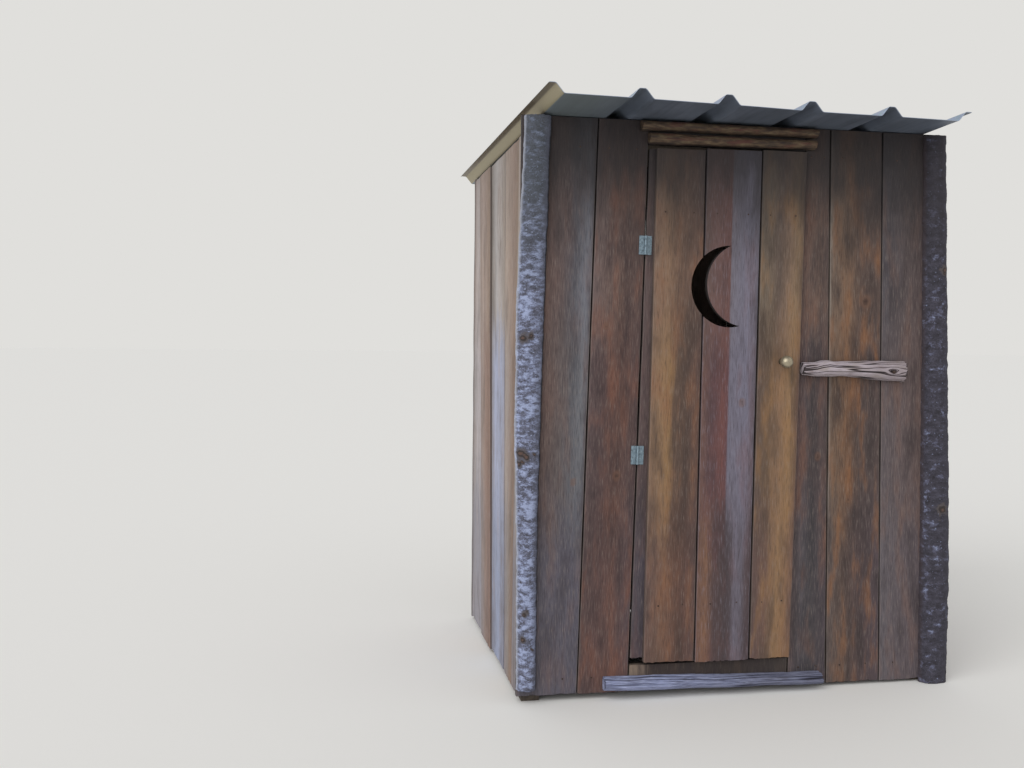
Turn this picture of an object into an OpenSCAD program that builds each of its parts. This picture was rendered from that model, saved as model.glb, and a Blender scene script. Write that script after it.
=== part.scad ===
// Wooden outhouse with a ribbed metal roof: upright boards on a post frame, one outward door,
// half logs at the front corners, over the door and at its foot.
// Millimetres. +X is to the right along the front, +Y goes back through the house, +Z is up.
// The house stands on z = 0. The origin is under the middle of its bounding box.
// The house is laid out from the front face of the front boards (y = 0) and then moved to the origin.

/* [House] */
// Outside of the left wall, measured left from the middle of the front
corner_left = 825; // [790:1:860]
// Outside of the right wall, measured right from the middle of the front
corner_right = 780; // [745:1:815]
// Front face of the front boards to the back face of the back boards
depth = 1120; // [1000:1:1200]
// Height of the front boards' heads above the ground
front_h = 2049; // [1990:1:2100]
// Thickness of the wall boards
board_t = 22; // [18:1:28]
// Height of the side boards' heads below the front boards' heads
side_drop = 66; // [66:1:90]
// Air between one board and the next
board_gap = 3.5; // [1:0.5:4]
// Height of the board feet at the left corner
foot_left = 24; // [10:1:40]
// Height of the board feet at the right corner
foot_right = 9; // [5:1:40]

/* [Front boards] */
// First board, width at the head and at the foot
board_1_w = [272, 219]; // [180:1:300]
// Second board, which carries the hinges
board_2_w = [183, 186]; // [150:1:230]
// Third board, beside the latch edge of the door
board_3_w = [92, 153]; // [70:1:180]
// Fourth board
board_4_w = [205, 214]; // [160:1:240]
// Air beside the door at its hinge edge
hinge_gap = 5; // [5:0.5:8]
// Air beside the door at its latch edge
latch_gap = 6; // [5:0.5:10]

/* [Door] */
// Part of the hinge stile that shows beside the first door board
stile_show = [20, 46]; // [12:1:60]
// How far the stile runs on behind the first door board
stile_lap = 60; // [30:1:90]
// First door board, width at the head and at the foot
door_board_1_w = [181, 191]; // [160:1:210]
// Second door board
door_board_2_w = [211, 209]; // [190:1:230]
// Third door board
door_board_3_w = [171, 157]; // [140:1:190]
// Air between one door board and the next
door_board_gap = 5; // [1:0.5:6]
// Height of the second door board's foot
door_foot = 122; // [115:1:150]
// Distance from the front boards' heads down to the door's head at its hinge edge
door_drop = 98; // [98:1:140]
// Thickness of the stile and the ledges behind the door boards
door_back_t = 16; // [12:1:17]
// Height of each ledge behind the door
ledge_h = 95; // [70:1:120]
// Distance from each end of the door boards to the middle of the ledge beside it
ledge_inset = 215; // [150:1:300]

/* [Moon] */
// Radius of the moon's outer edge
moon_r = 145; // [120:1:155]
// Radius of the circle that hollows the moon
moon_cut_r = 150; // [140:1:160]
// Centre of the outer edge, from the middle of the front
moon_x = -68; // [-80:1:-50]
// Distance from the front boards' heads down to the outer edge's centre
moon_drop = 575; // [500:1:650]
// Sideways shift of the hollowing circle
moon_shift_x = 64; // [50:1:80]
// Upward shift of the hollowing circle
moon_shift_z = 8; // [0:1:25]

/* [Hinges] */
// Height of each butt hinge
hinge_h = 66; // [50:1:90]
// Reach of one leaf from the pin
leaf_w = 23; // [18:1:25]
// Thickness of a leaf
leaf_t = 2; // [1.5:0.1:2.5]
// Radius of the knuckles
knuckle_r = 5; // [4:0.1:6]
// Radius of the pin
pin_r = 2.5; // [2:0.1:3]
// Height of the lower hinge's middle
hinge_low_z = 873; // [700:1:1000]
// Distance from the front boards' heads down to the upper hinge's middle
hinge_high_drop = 434; // [350:1:550]

/* [Knob] */
// Diameter of the ball
knob_d = 46; // [35:1:55]
// Height of the knob
knob_z = 1208; // [1100:1:1300]
// Distance of the knob from the latch edge of the door
knob_inset = 72; // [60:1:100]
// Length of the knob's neck
knob_neck = 24; // [15:1:35]

/* [Latch] */
// Left end of the driftwood bar, measured from the latch edge of the door
latch_clear = 8; // [7:1:20]
// Length of the driftwood bar
latch_len = 408; // [300:1:430]
// Thickness of the driftwood bar from front to back
latch_t = 38; // [25:1:50]
// Pivot screw's distance from the bar's right end
latch_pivot_inset = 58; // [40:1:75]
// Height of the pivot screw
latch_z = 1172; // [1100:1:1300]
// Air between the bar and the boards, filled by a washer at the screw
latch_off = 6; // [5:0.5:10]
// Radius of the pivot screw
screw_r = 3; // [2.5:0.1:4]

/* [Half logs] */
// Depth of a corner slab from its flat back to its bark
slab_t = 42; // [30:1:55]
// Height of the left corner slab's foot
slab_left_foot = 52; // [0:1:80]
// Usual width of a corner slab
slab_w = 100; // [80:1:102]
// Depth of the two poles over the door
lintel_t = 35; // [18:1:38]
// Radius of the upper pole at its left and right ends
upper_pole_r = [20, 19]; // [12:1:20]
// Middle of the upper pole below the front boards' heads, left and right
upper_pole_drop = [19.5, 19]; // [18:0.5:20]
// Radius of the lower pole at its left and right ends
lower_pole_r = [22, 20]; // [12:1:22]
// Middle of the lower pole below the front boards' heads, left and right
lower_pole_drop = [63.5, 60.5]; // [60.5:0.5:66]
// Reach of the upper pole beyond the door boards, left and right
pole_reach = [58, 38]; // [20:1:60]
// How much shorter the lower pole is, left and right
pole_step = [28, 6]; // [0:1:30]
// Depth of the log below the door
threshold_t = 45; // [30:1:60]
// Radius of the threshold log at its left and right ends
threshold_r = [26, 23]; // [20:1:32]
// Height of the threshold log's middle, left and right
threshold_z = [58, 39]; // [35:1:70]
// Reach of the threshold log beyond the doorway, left and right
threshold_reach = [92, 124]; // [60:1:140]

/* [Frame] */
// Side of a corner post and width of a skid
post_w = 64; // [50:1:80]
// Height of the skids
skid_h = 60; // [40:1:80]
// Thickness of rails, jambs and headers
rail_t = 38; // [30:1:45]
// Height of the bottom rails
rail_h = 70; // [50:1:75]
// Height of the top plates
plate_h = 70; // [50:1:100]
// Width of a door jamb
jamb_w = 64; // [50:1:75]
// Height of the middle rails' centre line
girt_z = 1050; // [900:1:1200]
// Gap between the door's head and the board above it
header_gap = 17; // [12:1:30]
// How far the front header hangs down behind the door's head
header_lap = 58; // [40:1:80]
// How far a jamb shows beside the door boards at the foot, at its hinge edge and latch edge
jamb_set = [6, 20]; // [4:1:24]

/* [Roof] */
// Distance from one rib to the next
rib_pitch = 305; // [290:1:310]
// Height of a rib
rib_h = 33; // [20:1:40]
// Width of a rib at its foot
rib_base = 78; // [60:1:90]
// Width of the flat on top of a rib
rib_top = 24; // [16:1:32]
// Thickness of the metal sheet
sheet_t = 1.2; // [0.8:0.1:2]
// Length of the sheet along its ribs
sheet_len = 1500; // [1480:1:1700]
// Reach of the sheet beyond the front boards, at its middle
overhang = 224; // [150:1:260]
// Fall of the roof towards the back, in millimetres per metre
fall = 50; // [30:1:55]
// Turn of the sheet on the house, seen from above, in degrees
sheet_skew = 3.2; // [0:0.1:3.5]
// Shift of the sheet's middle from the middle of the front
sheet_shift = -16; // [-30:1:10]

/* [Hidden] */
$fn = 48;

// Front board joints. Each line is [x at the head of the front wall, x at the ground].
line_corner_left = [-corner_left, -corner_left];
line_corner_right = [corner_right, corner_right];
line_1 = line_corner_left + board_1_w;
line_2 = line_1 + board_2_w;
line_stile = line_2 + [hinge_gap, hinge_gap];
line_door_left = line_stile + stile_show;
line_door_1 = line_door_left + door_board_1_w;
line_door_2 = line_door_1 + door_board_2_w;
line_door_right = line_door_2 + door_board_3_w;
line_3_left = line_door_right + [latch_gap, latch_gap];
line_3 = line_3_left + board_3_w;
line_4 = line_3 + board_4_w;
line_hinge = (line_2 + line_stile) / 2;
function x_on(line, z) = line[1] + (line[0] - line[1]) * z / front_h;
function foot_at(x) = foot_left + (foot_right - foot_left) * (x + corner_left) / (corner_left + corner_right);

// Inner faces of the boards, which the frame stands against
inner_left = -corner_left + board_t;
inner_right = corner_right - board_t;
inner_front = board_t;
inner_back = depth - board_t;

// The roof frame: its z = 0 is the underside of the sheet's pans
roof_angle = atan(fall / 1000);
under_roof_gap = 3; // air between the front boards' heads and the sheet
eave_z = front_h + under_roof_gap + overhang * tan(roof_angle);
side_z = front_h - side_drop;
function roof_z(y) = eave_z - (y + overhang) * tan(roof_angle);

// Frame heights
door_top = front_h - door_drop;
rail_air = 12;
rail_front_top = door_foot - rail_air;
header_bottom = door_top - header_lap;
header_top = side_z - board_gap;
header_board_bottom = door_top + header_gap;
kick_top = rail_front_top + rail_air / 2;

// Hinge line: it leans with the joint between the second board and the stile
hinge_lean = atan((line_hinge[0] - line_hinge[1]) / front_h);

// Sheet: half ribs end it on both sides
ribs = 4;
half_rib_x = (ribs + 1) / 2 * rib_pitch;
sheet_half_w = half_rib_x + rib_top / 2;

// Corner slabs: where their middle runs and how wide they are at each height
slab_rings = [for (i = [0:13]) i / 13 * front_h];
function up(z) = z / front_h;
function slab_left_mid(z) = -corner_left + slab_w * lookup(up(z), [[0, 0.34], [0.45, 0.3], [0.68, 0.36], [1, 0.56]]);
function slab_left_w(z) =
    slab_w * (lookup(up(z), [[0, 0.74], [0.3, 0.82], [0.46, 0.99], [0.68, 1.06], [1, 1.01]]) + 0.02 * sin(2660 * up(z)));
function slab_right_mid(z) = corner_right - slab_w * lookup(up(z), [[0, 0.03], [0.2, 0.05], [1, 0.54]]);
function slab_right_w(z) =
    slab_w * (lookup(up(z), [[0, 1.16], [0.2, 1.24], [1, 0.9]]) + 0.02 * sin(2250 * up(z)));

// Bounding box, from the slabs, the roof's corners and the ground
roof_left = sheet_shift - sheet_half_w * cos(sheet_skew) - sheet_len * sin(sheet_skew);
function sheet_y(x, y, z) =
    -overhang + (x * sin(sheet_skew) + y * cos(sheet_skew)) * cos(roof_angle) + z * sin(roof_angle);
box_x_min = min(roof_left, min([for (z = slab_rings) slab_left_mid(z) - slab_left_w(z) / 2]));
box_x_max = max([for (z = slab_rings) slab_right_mid(z) + slab_right_w(z) / 2]);
box_y_min = sheet_y(-sheet_half_w, 0, rib_h);
box_y_max = sheet_y(sheet_half_w, sheet_len, rib_h + sheet_t);
middle = [(box_x_min + box_x_max) / 2, (box_y_min + box_y_max) / 2];

// Colours of the real finishes
bark = "dimgray";
lichen_bark = "lightslategray";
old_board = "saddlebrown";
dark_board = "#5a4030";
grey_board = "#9c8f86";
frame_wood = "#8a7358";
zinc = "#8ea0b0";
brass = "#a8a08c";
driftwood = "#a39a9f";

// Moves the laid-out house so that the origin is under its middle
module placed() {
    translate([-middle[0], -middle[1], 0]) children();
}

// A board in a wall along X: its edges follow two joint lines
module front_plank(line_a, line_b, z_low, z_high, y, t, gap_a = board_gap / 2, gap_b = board_gap / 2) {
    translate([0, y + t, 0])
        rotate([90, 0, 0])
            linear_extrude(t)
                polygon([
                    [x_on(line_a, z_low) + gap_a, z_low], [x_on(line_b, z_low) - gap_b, z_low],
                    [x_on(line_b, z_high) - gap_b, z_high], [x_on(line_a, z_high) + gap_a, z_high]
                ]);
}

// A board in a side wall: y_head and y_foot hold the [front, back] edges at the head and at the foot
module side_plank(x, t, y_head, y_foot, z_low) {
    translate([x, 0, 0])
        rotate([90, 0, 90])
            linear_extrude(t)
                polygon([
                    [y_foot[0], z_low], [y_foot[1], z_low],
                    [y_head[1], side_z], [y_head[0], side_z]
                ]);
}

// A half log along Z with its flat back on y = 0 and its round side towards -Y.
// mid(z) and w(z) give the middle and the width of the back, t the depth.
module half_log(z_list, mid, w, t, sides = 8) {
    ring = sides + 1;
    last = len(z_list) - 1;
    points = [
        for (z = z_list) for (k = [0:sides])
            let (a = 180 * k / sides) [mid(z) + w(z) / 2 * cos(a), -t * pow(sin(a), 0.8), z]
    ];
    bark = [
        for (i = [0:last - 1]) for (k = [0:sides])
            let (a = i * ring + k, b = i * ring + (k + 1) % ring)
                each [[a, a + ring, b], [b, a + ring, b + ring]]
    ];
    foot = [for (k = [0:sides]) k];
    top = [for (k = [sides:-1:0]) last * ring + k];
    polyhedron(points, concat(bark, [foot, top]), convexity = 4);
}

// Turns a log that was made along Z so that it lies along X, flat back still on y = 0
module along_x() {
    rotate([0, 90, 0]) children();
}

// A straight frame timber between two corners
module timber(low, high) {
    translate(low) cube(high - low);
}

module in_roof() {
    translate([0, -overhang, eave_z]) rotate([-roof_angle, 0, 0]) children();
}

module skids() {
    color(frame_wood) placed() {
        timber([inner_left, inner_front, 0], [inner_left + post_w, inner_back, skid_h]);
        timber([inner_right - post_w, inner_front, 0], [inner_right, inner_back, skid_h]);
    }
}

// A corner post from its skid up to the plate
module post(x, y) {
    color(frame_wood) placed() timber([x, y, skid_h], [x + post_w, y + post_w, side_z - plate_h]);
}
module post_front_left() post(inner_left, inner_front);
module post_front_right() post(inner_right - post_w, inner_front);
module post_back_left() post(inner_left, inner_back - post_w);
module post_back_right() post(inner_right - post_w, inner_back - post_w);

module bottom_rail_front() {
    color(frame_wood) placed()
        timber([inner_left + post_w, inner_front, rail_front_top - rail_h],
            [inner_right - post_w, inner_front + rail_t, rail_front_top]);
}
module bottom_rail_back() {
    color(frame_wood) placed()
        timber([inner_left + post_w, inner_back - rail_t, skid_h],
            [inner_right - post_w, inner_back, skid_h + rail_h]);
}
module side_rail(x, z) {
    color(frame_wood) placed()
        timber([x, inner_front + post_w, z], [x + rail_t, inner_back - post_w, z + rail_h]);
}
module bottom_rail_left() side_rail(inner_left, skid_h);
module bottom_rail_right() side_rail(inner_right - rail_t, skid_h);
module middle_rail_left() side_rail(inner_left, girt_z - rail_h / 2);
module middle_rail_right() side_rail(inner_right - rail_t, girt_z - rail_h / 2);
module middle_rail_back() {
    color(frame_wood) placed()
        timber([inner_left + post_w, inner_back - rail_t, girt_z - rail_h / 2],
            [inner_right - post_w, inner_back, girt_z + rail_h / 2]);
}

module header_front() {
    color(frame_wood) placed()
        timber([inner_left + post_w, inner_front, header_bottom],
            [inner_right - post_w, inner_front + rail_t, header_top]);
}
module header_back() {
    color(frame_wood) placed()
        timber([inner_left + post_w, inner_back - rail_t, header_bottom],
            [inner_right - post_w, inner_back, header_top]);
}

// A level plate lies on the posts along each side wall
module plate(x) {
    color(frame_wood) placed()
        timber([x, inner_front, side_z - plate_h], [x + post_w, inner_back, side_z]);
}
module plate_left() plate(inner_left);
module plate_right() plate(inner_right - post_w);

// Three purlins lie across the plates. Each is lower than the one before it, which gives the roof its fall.
purlin_inset = 40;
purlin_air = 0.2;
purlin_set = 3; // from the front and back boards to the outer purlins
module purlins() {
    first = inner_front + purlin_set;
    last = inner_back - purlin_set - rail_t;
    color(frame_wood) placed()
        for (y = [first, (first + last) / 2, last])
            timber([inner_left + purlin_inset, y, side_z],
                [inner_right - purlin_inset, y + rail_t, roof_z(y + rail_t) - purlin_air]);
}

module jamb(x) {
    color(frame_wood) placed()
        timber([x, inner_front, rail_front_top], [x + jamb_w, inner_front + rail_t, header_bottom]);
}
module jamb_left() jamb(line_2[1] - jamb_set[0] - jamb_w);
module jamb_right() jamb(line_3_left[1] - jamb_set[1]);

module front_board_1() {
    color(dark_board) placed()
        front_plank(line_corner_left, line_1, foot_at(-corner_left), front_h, 0, board_t, gap_a = 0);
}
module front_board_2() {
    color(old_board) placed()
        front_plank(line_1, line_2, foot_at(line_1[1]), front_h, 0, board_t, gap_b = 0);
}
module front_board_3() {
    color(dark_board) placed()
        front_plank(line_3_left, line_3, foot_at(line_3_left[1]), front_h, 0, board_t, gap_a = 0);
}
module front_board_4() {
    color(old_board) placed()
        front_plank(line_3, line_4, foot_at(line_3[1]), front_h, 0, board_t);
}
module front_board_5() {
    color(dark_board) placed()
        front_plank(line_4, line_corner_right, foot_at(line_4[1]), front_h, 0, board_t, gap_b = 0);
}
module header_board() {
    color(dark_board) placed()
        front_plank(line_2, line_3_left, header_board_bottom, front_h, 0, board_t, board_gap, board_gap);
}
kick_up = 16;
module kick_board() {
    color(grey_board) placed()
        front_plank(line_2, line_3_left, foot_at(line_1[1]) + kick_up, kick_top, 0, board_t, board_gap, board_gap);
}

// Side wall board joints, as shares of the depth between the front and back boards
side_joints_head = [0, 0.05, 0.32, 0.62, 0.885, 1];
side_joints_foot = [0, 0.10, 0.26, 0.52, 0.735, 1];
side_boards_n = len(side_joints_head) - 1;
side_feet = [24, 18, 22, 16, 20];
// The two widest boards have shrunk apart at their heads
wide_joint = 2;
wide_joint_gap = 9;
// Some side boards are thinner: how far each one's outer face stands in behind the corner
side_set = [4, 7, 7, 0, 2];
module side_boards(x, outward) {
    span = inner_back - inner_front;
    lap = board_gap / 2;
    for (i = [0:side_boards_n - 1]) {
        gap_front = i == 0 ? 0 : lap;
        gap_back = i == side_boards_n - 1 ? 0 : lap;
        gap_back_head = i == wide_joint ? wide_joint_gap : gap_back;
        y_head = [side_joints_head[i] * span + gap_front, side_joints_head[i + 1] * span - gap_back_head];
        y_foot = [side_joints_foot[i] * span + gap_front, side_joints_foot[i + 1] * span - gap_back];
        side_plank(outward < 0 ? x + side_set[i] : x, board_t - side_set[i],
            y_head + [inner_front, inner_front], y_foot + [inner_front, inner_front], side_feet[i]);
    }
}
module left_wall_boards() color(grey_board) placed() side_boards(-corner_left, -1);
module right_wall_boards() color(grey_board) placed() side_boards(corner_right - board_t, 1);

// Back wall boards: equal shares of the width, with joints that lean to and fro
back_n = 8;
back_lean = 6;
back_feet = [12, 17, 22];
function back_line(i) =
    let (x = -corner_left + (corner_left + corner_right) * i / back_n,
        lean = i == 0 || i == back_n ? 0 : back_lean * sin(i * 140))
    [x + lean, x - lean];
module back_wall_boards() {
    color(grey_board) placed()
        for (i = [0:back_n - 1])
            front_plank(back_line(i), back_line(i + 1), back_feet[i % 3], roof_z(depth) - under_roof_gap,
                inner_back, board_t, i == 0 ? 0 : board_gap / 2, i == back_n - 1 ? 0 : board_gap / 2);
}

module corner_slab_left() {
    color(lichen_bark) placed()
        half_log([for (z = slab_rings) min(max(z, slab_left_foot), front_h - board_gap)],
            function(z) slab_left_mid(z), function(z) slab_left_w(z), slab_t);
}
module corner_slab_right() {
    color(bark) placed()
        half_log([for (z = slab_rings) min(z, front_h - 2 * board_gap)],
            function(z) slab_right_mid(z), function(z) slab_right_w(z), slab_t);
}

// A straight pole along X: its middle's height and its radius run from one end's value to the other's
module pole(x, z, r, t) {
    steps = 10;
    function run(pair, at_x) = pair[0] + (pair[1] - pair[0]) * (at_x - x[0]) / (x[1] - x[0]);
    along_x()
        half_log([for (i = [0:steps]) x[0] + (x[1] - x[0]) * i / steps],
            function(at_x) -run(z, at_x), function(at_x) 2 * run(r, at_x), t);
}
heads = [front_h, front_h];
upper_pole_x = [line_door_left[0] - pole_reach[0], line_door_right[0] + pole_reach[1]];
lower_pole_x = upper_pole_x + [pole_step[0], -pole_step[1]];
threshold_x = [line_2[1] - threshold_reach[0], line_3_left[1] + threshold_reach[1]];
module lintel_pole_upper() {
    color(old_board) placed() pole(upper_pole_x, heads - upper_pole_drop, upper_pole_r, lintel_t);
}
module lintel_pole_lower() {
    color(old_board) placed() pole(lower_pole_x, heads - lower_pole_drop, lower_pole_r, lintel_t);
}
module threshold_log() {
    color(driftwood) placed() pole(threshold_x, threshold_z, threshold_r, threshold_t);
}

// One rib's corners, from left to right, on the sheet's lower surface
function rib(x) = [[x - rib_base / 2, 0], [x - rib_top / 2, rib_h], [x + rib_top / 2, rib_h], [x + rib_base / 2, 0]];
function sheet_line() = concat(
    [[-sheet_half_w, rib_h], [-half_rib_x + rib_top / 2, rib_h], [-half_rib_x + rib_base / 2, 0]],
    [for (i = [0:ribs - 1]) each rib((i - (ribs - 1) / 2) * rib_pitch)],
    [[half_rib_x - rib_base / 2, 0], [half_rib_x - rib_top / 2, rib_h], [sheet_half_w, rib_h]]
);
module roof_sheet() {
    low = sheet_line();
    top = [for (i = [len(low) - 1:-1:0]) low[i] + [0, sheet_t]];
    color(zinc) placed() in_roof()
        translate([sheet_shift, 0, 0]) rotate([0, 0, sheet_skew])
            translate([0, sheet_len, 0]) rotate([90, 0, 0])
                linear_extrude(sheet_len) polygon(concat(low, top));
}

// The hinge pin's line: z runs along the pin from the ground up
module on_hinge_line() {
    translate([line_hinge[1], -knuckle_r, 0]) rotate([0, hinge_lean, 0]) children();
}
knuckles = 5;
knuckle_air = 0.5;
knuckle_len = hinge_h / knuckles;
leaf_air = 0.5;
pin_air = 0.05;
bore_over = 1; // how far a bore's cutter reaches beyond the metal or wood
module leaf(side, own) {
    plate_x = side < 0 ? -leaf_w : knuckle_r + leaf_air;
    translate([plate_x, knuckle_r - leaf_t, 0]) cube([leaf_w - knuckle_r - leaf_air, leaf_t, hinge_h]);
    for (i = own) {
        z = i * knuckle_len + (i == 0 ? 0 : knuckle_air / 2);
        h = knuckle_len - (i == 0 || i == knuckles - 1 ? knuckle_air / 2 : knuckle_air);
        translate([side < 0 ? -knuckle_r - leaf_air : 0, knuckle_r - leaf_t, z])
            cube([knuckle_r + leaf_air, leaf_t, h]);
        translate([0, 0, z]) cylinder(r = knuckle_r, h = h);
    }
}
hinge_heights = [hinge_low_z, front_h - hinge_high_drop];
module hinge_leaves_wall() {
    color(zinc) placed() on_hinge_line()
        for (z = hinge_heights) translate([0, 0, z - hinge_h / 2]) {
            leaf(-1, [0, 2, 4]);
            cylinder(r = pin_r, h = hinge_h);
        }
}
module hinge_leaves_door() {
    color(zinc) placed() on_hinge_line()
        for (z = hinge_heights) translate([0, 0, z - hinge_h / 2]) difference() {
            leaf(1, [1, 3]);
            translate([0, 0, -bore_over]) cylinder(r = pin_r + pin_air, h = hinge_h + 2 * bore_over);
        }
}

module door_stile() {
    color(dark_board) placed()
        front_plank(line_stile, line_door_left + [stile_lap, stile_lap], door_foot + stile_up, door_top, 0, door_back_t,
            0, 0);
}
// The door boards' ends don't line up: each is set up or down from the second board's foot and the first one's head
stile_up = 19;
door_feet = [6, 0, 2];
door_heads = [0, 6, 10];
ledge_air = 4;
module moon_cut() {
    translate([moon_x, 0, front_h - moon_drop]) rotate([90, 0, 0]) difference() {
        cylinder(r = moon_r, h = 4 * board_t, center = true, $fn = 96);
        translate([moon_shift_x, moon_shift_z, 0])
            cylinder(r = moon_cut_r, h = 5 * board_t, center = true, $fn = 96);
    }
}
module door_board(i, line_a, line_b, gap_a, gap_b) {
    front_plank(line_a, line_b, door_foot + door_feet[i], door_top + door_heads[i], -board_t, board_t, gap_a, gap_b);
}
module door_board_1() {
    color(old_board) placed() difference() {
        door_board(0, line_door_left, line_door_1, 0, door_board_gap / 2);
        moon_cut();
    }
}
module door_board_2() {
    color(dark_board) placed() difference() {
        door_board(1, line_door_1, line_door_2, door_board_gap / 2, door_board_gap / 2);
        moon_cut();
    }
}
module door_board_3() {
    color(old_board) placed()
        door_board(2, line_door_2, line_door_right, door_board_gap / 2, 0);
}
module door_ledges() {
    color(frame_wood) placed()
        for (z = [door_foot + ledge_inset, door_top - ledge_inset])
            front_plank(line_door_left + [stile_lap, stile_lap], line_door_right, z - ledge_h / 2, z + ledge_h / 2,
                0, door_back_t, 0, ledge_air);
}

rose_t = 3;
knob_sink = 4; // how deep the neck goes into the ball
module door_knob() {
    x = x_on(line_door_right, knob_z) - knob_inset;
    neck_r = knob_d * 0.2;
    rose_r = knob_d * 0.32;
    ball_y = knob_neck + knob_d / 2 - knob_sink;
    color(brass) placed()
        translate([x, -board_t, knob_z]) rotate([90, 0, 0]) {
            cylinder(r = rose_r, h = rose_t);
            cylinder(r = neck_r, h = ball_y);
            translate([0, 0, ball_y]) sphere(r = knob_d / 2);
        }
}

// Driftwood bar: thin and low at its left end, swelling to a blunt right end
latch_left = x_on(line_door_right, latch_z) + latch_clear;
latch_right = latch_left + latch_len;
latch_pivot_x = latch_right - latch_pivot_inset;
function latch_share(x) = (x - latch_left) / latch_len;
function latch_top(x) =
    latch_z + lookup(latch_share(x), [[0, 35], [0.15, 37], [0.22, 46], [0.3, 41], [0.75, 43], [1, 42]]);
function latch_low(x) =
    latch_z + lookup(latch_share(x), [[0, -13], [0.15, -19], [0.4, -19], [0.65, -27], [0.9, -37], [1, -41]]);
module latch_bar() {
    steps = 16;
    color(driftwood) placed() difference() {
        translate([0, -latch_off, 0]) along_x()
            half_log([for (i = [0:steps]) latch_left + latch_len * i / steps],
                function(x) -(latch_top(x) + latch_low(x)) / 2,
                function(x) latch_top(x) - latch_low(x), latch_t, sides = 10);
        translate([latch_pivot_x, 0, latch_z]) rotate([90, 0, 0])
            cylinder(r = screw_r + pin_air, h = latch_off + latch_t + bore_over);
    }
}
screw_air = 0.5;
screw_head_t = 3;
module latch_screw() {
    washer_t = latch_off - screw_air;
    head_y = latch_off + latch_t + screw_air;
    color(zinc) placed()
        translate([latch_pivot_x, 0, latch_z]) rotate([90, 0, 0]) {
            cylinder(r = 3 * screw_r, h = washer_t);
            cylinder(r = screw_r, h = head_y + screw_head_t);
            translate([0, 0, head_y]) cylinder(r = 2 * screw_r, h = screw_head_t);
        }
}

skids();
post_front_left();
post_front_right();
post_back_left();
post_back_right();
bottom_rail_front();
bottom_rail_back();
bottom_rail_left();
bottom_rail_right();
middle_rail_left();
middle_rail_right();
middle_rail_back();
header_front();
header_back();
plate_left();
plate_right();
purlins();
jamb_left();
jamb_right();
front_board_1();
front_board_2();
front_board_3();
front_board_4();
front_board_5();
header_board();
kick_board();
left_wall_boards();
right_wall_boards();
back_wall_boards();
corner_slab_left();
corner_slab_right();
lintel_pole_upper();
lintel_pole_lower();
threshold_log();
roof_sheet();
hinge_leaves_wall();
latch_screw();
door_stile();
door_board_1();
door_board_2();
door_board_3();
door_ledges();
hinge_leaves_door();
door_knob();
latch_bar();
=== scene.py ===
# %% [markdown]
# A small wooden outhouse: weathered boards round a post frame, a plank door with a moon in it,
# bark slabs at the front corners and a ribbed metal roof.
# The solids come in as a fixed frame, in metres, with the house standing on z = 0. This script
# dresses them: each board, pole and slab gets its worn surface, and each surface its finish.

# %% The frame
import math
import bmesh
import bpy
import numpy as np
from mathutils import Matrix, Vector


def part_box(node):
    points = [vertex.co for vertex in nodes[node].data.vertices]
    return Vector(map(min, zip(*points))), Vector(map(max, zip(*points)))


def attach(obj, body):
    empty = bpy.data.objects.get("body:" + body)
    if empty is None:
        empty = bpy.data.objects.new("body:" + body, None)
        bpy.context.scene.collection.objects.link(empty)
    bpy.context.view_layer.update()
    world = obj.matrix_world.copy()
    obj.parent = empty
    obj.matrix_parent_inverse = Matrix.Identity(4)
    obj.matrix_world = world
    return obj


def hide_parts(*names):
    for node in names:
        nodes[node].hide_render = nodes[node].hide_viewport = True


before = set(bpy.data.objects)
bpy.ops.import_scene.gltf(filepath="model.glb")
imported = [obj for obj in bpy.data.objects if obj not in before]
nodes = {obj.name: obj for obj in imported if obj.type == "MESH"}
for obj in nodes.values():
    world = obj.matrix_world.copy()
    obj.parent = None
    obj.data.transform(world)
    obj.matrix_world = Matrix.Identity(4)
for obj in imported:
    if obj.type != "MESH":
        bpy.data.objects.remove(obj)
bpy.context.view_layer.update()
scene = bpy.context.scene

# %% [markdown]
# The boards are easiest to place from the front face of the front wall, with x counted from the
# middle of the front. Two shifts turn such places into the frame's own.

# %% House coordinates
CORNER_LEFT = -0.825
BOARD_T = 0.022
SHIFT_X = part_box("front_board_1")[0].x - CORNER_LEFT
SHIFT_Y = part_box("front_board_1")[0].y
FRONT_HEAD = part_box("front_board_1")[1].z


def at_house(points):
    """Adds the two shifts to an array of points whose last axis is x, y, z."""
    return np.asarray(points, float) + np.array([SHIFT_X, SHIFT_Y, 0.0])


print("front face at y =", round(SHIFT_Y, 4), "middle of the front at x =", round(SHIFT_X, 4))

# %% [markdown]
# The camera stands to the left of the door, at chest height, and looks a little down. Its matrix is
# put together from its own three directions.

# %% The camera
CAMERA_PLACE = (-1.4894, -3.4792, 1.2842)
CAMERA_YAW = math.radians(10.406)
CAMERA_PITCH = math.radians(-2.582)
CAMERA_ROLL = math.radians(0.562)
CAMERA_LENS = 35.98


def camera_directions(yaw, pitch, roll):
    """Forward from yaw and pitch; right is level, then right and up are turned about forward by roll."""
    forward = Vector((math.sin(yaw) * math.cos(pitch), math.cos(yaw) * math.cos(pitch), math.sin(pitch)))
    level = Vector((math.cos(yaw), -math.sin(yaw), 0))
    above = level.cross(forward)
    right = level * math.cos(roll) + above * math.sin(roll)
    up = above * math.cos(roll) - level * math.sin(roll)
    return right, up, forward


camera = bpy.data.objects.new("camera", bpy.data.cameras.new("camera"))
scene.collection.objects.link(camera)
right, up, forward = camera_directions(CAMERA_YAW, CAMERA_PITCH, CAMERA_ROLL)
turn = Matrix((right, up, -forward)).transposed().to_4x4()
camera.matrix_world = Matrix.Translation(Vector(at_house(CAMERA_PLACE))) @ turn
camera.data.lens = CAMERA_LENS
camera.data.sensor_width = 36
camera.data.clip_end = 200
scene.camera = camera
print("camera at", tuple(round(v, 3) for v in camera.location))

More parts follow.
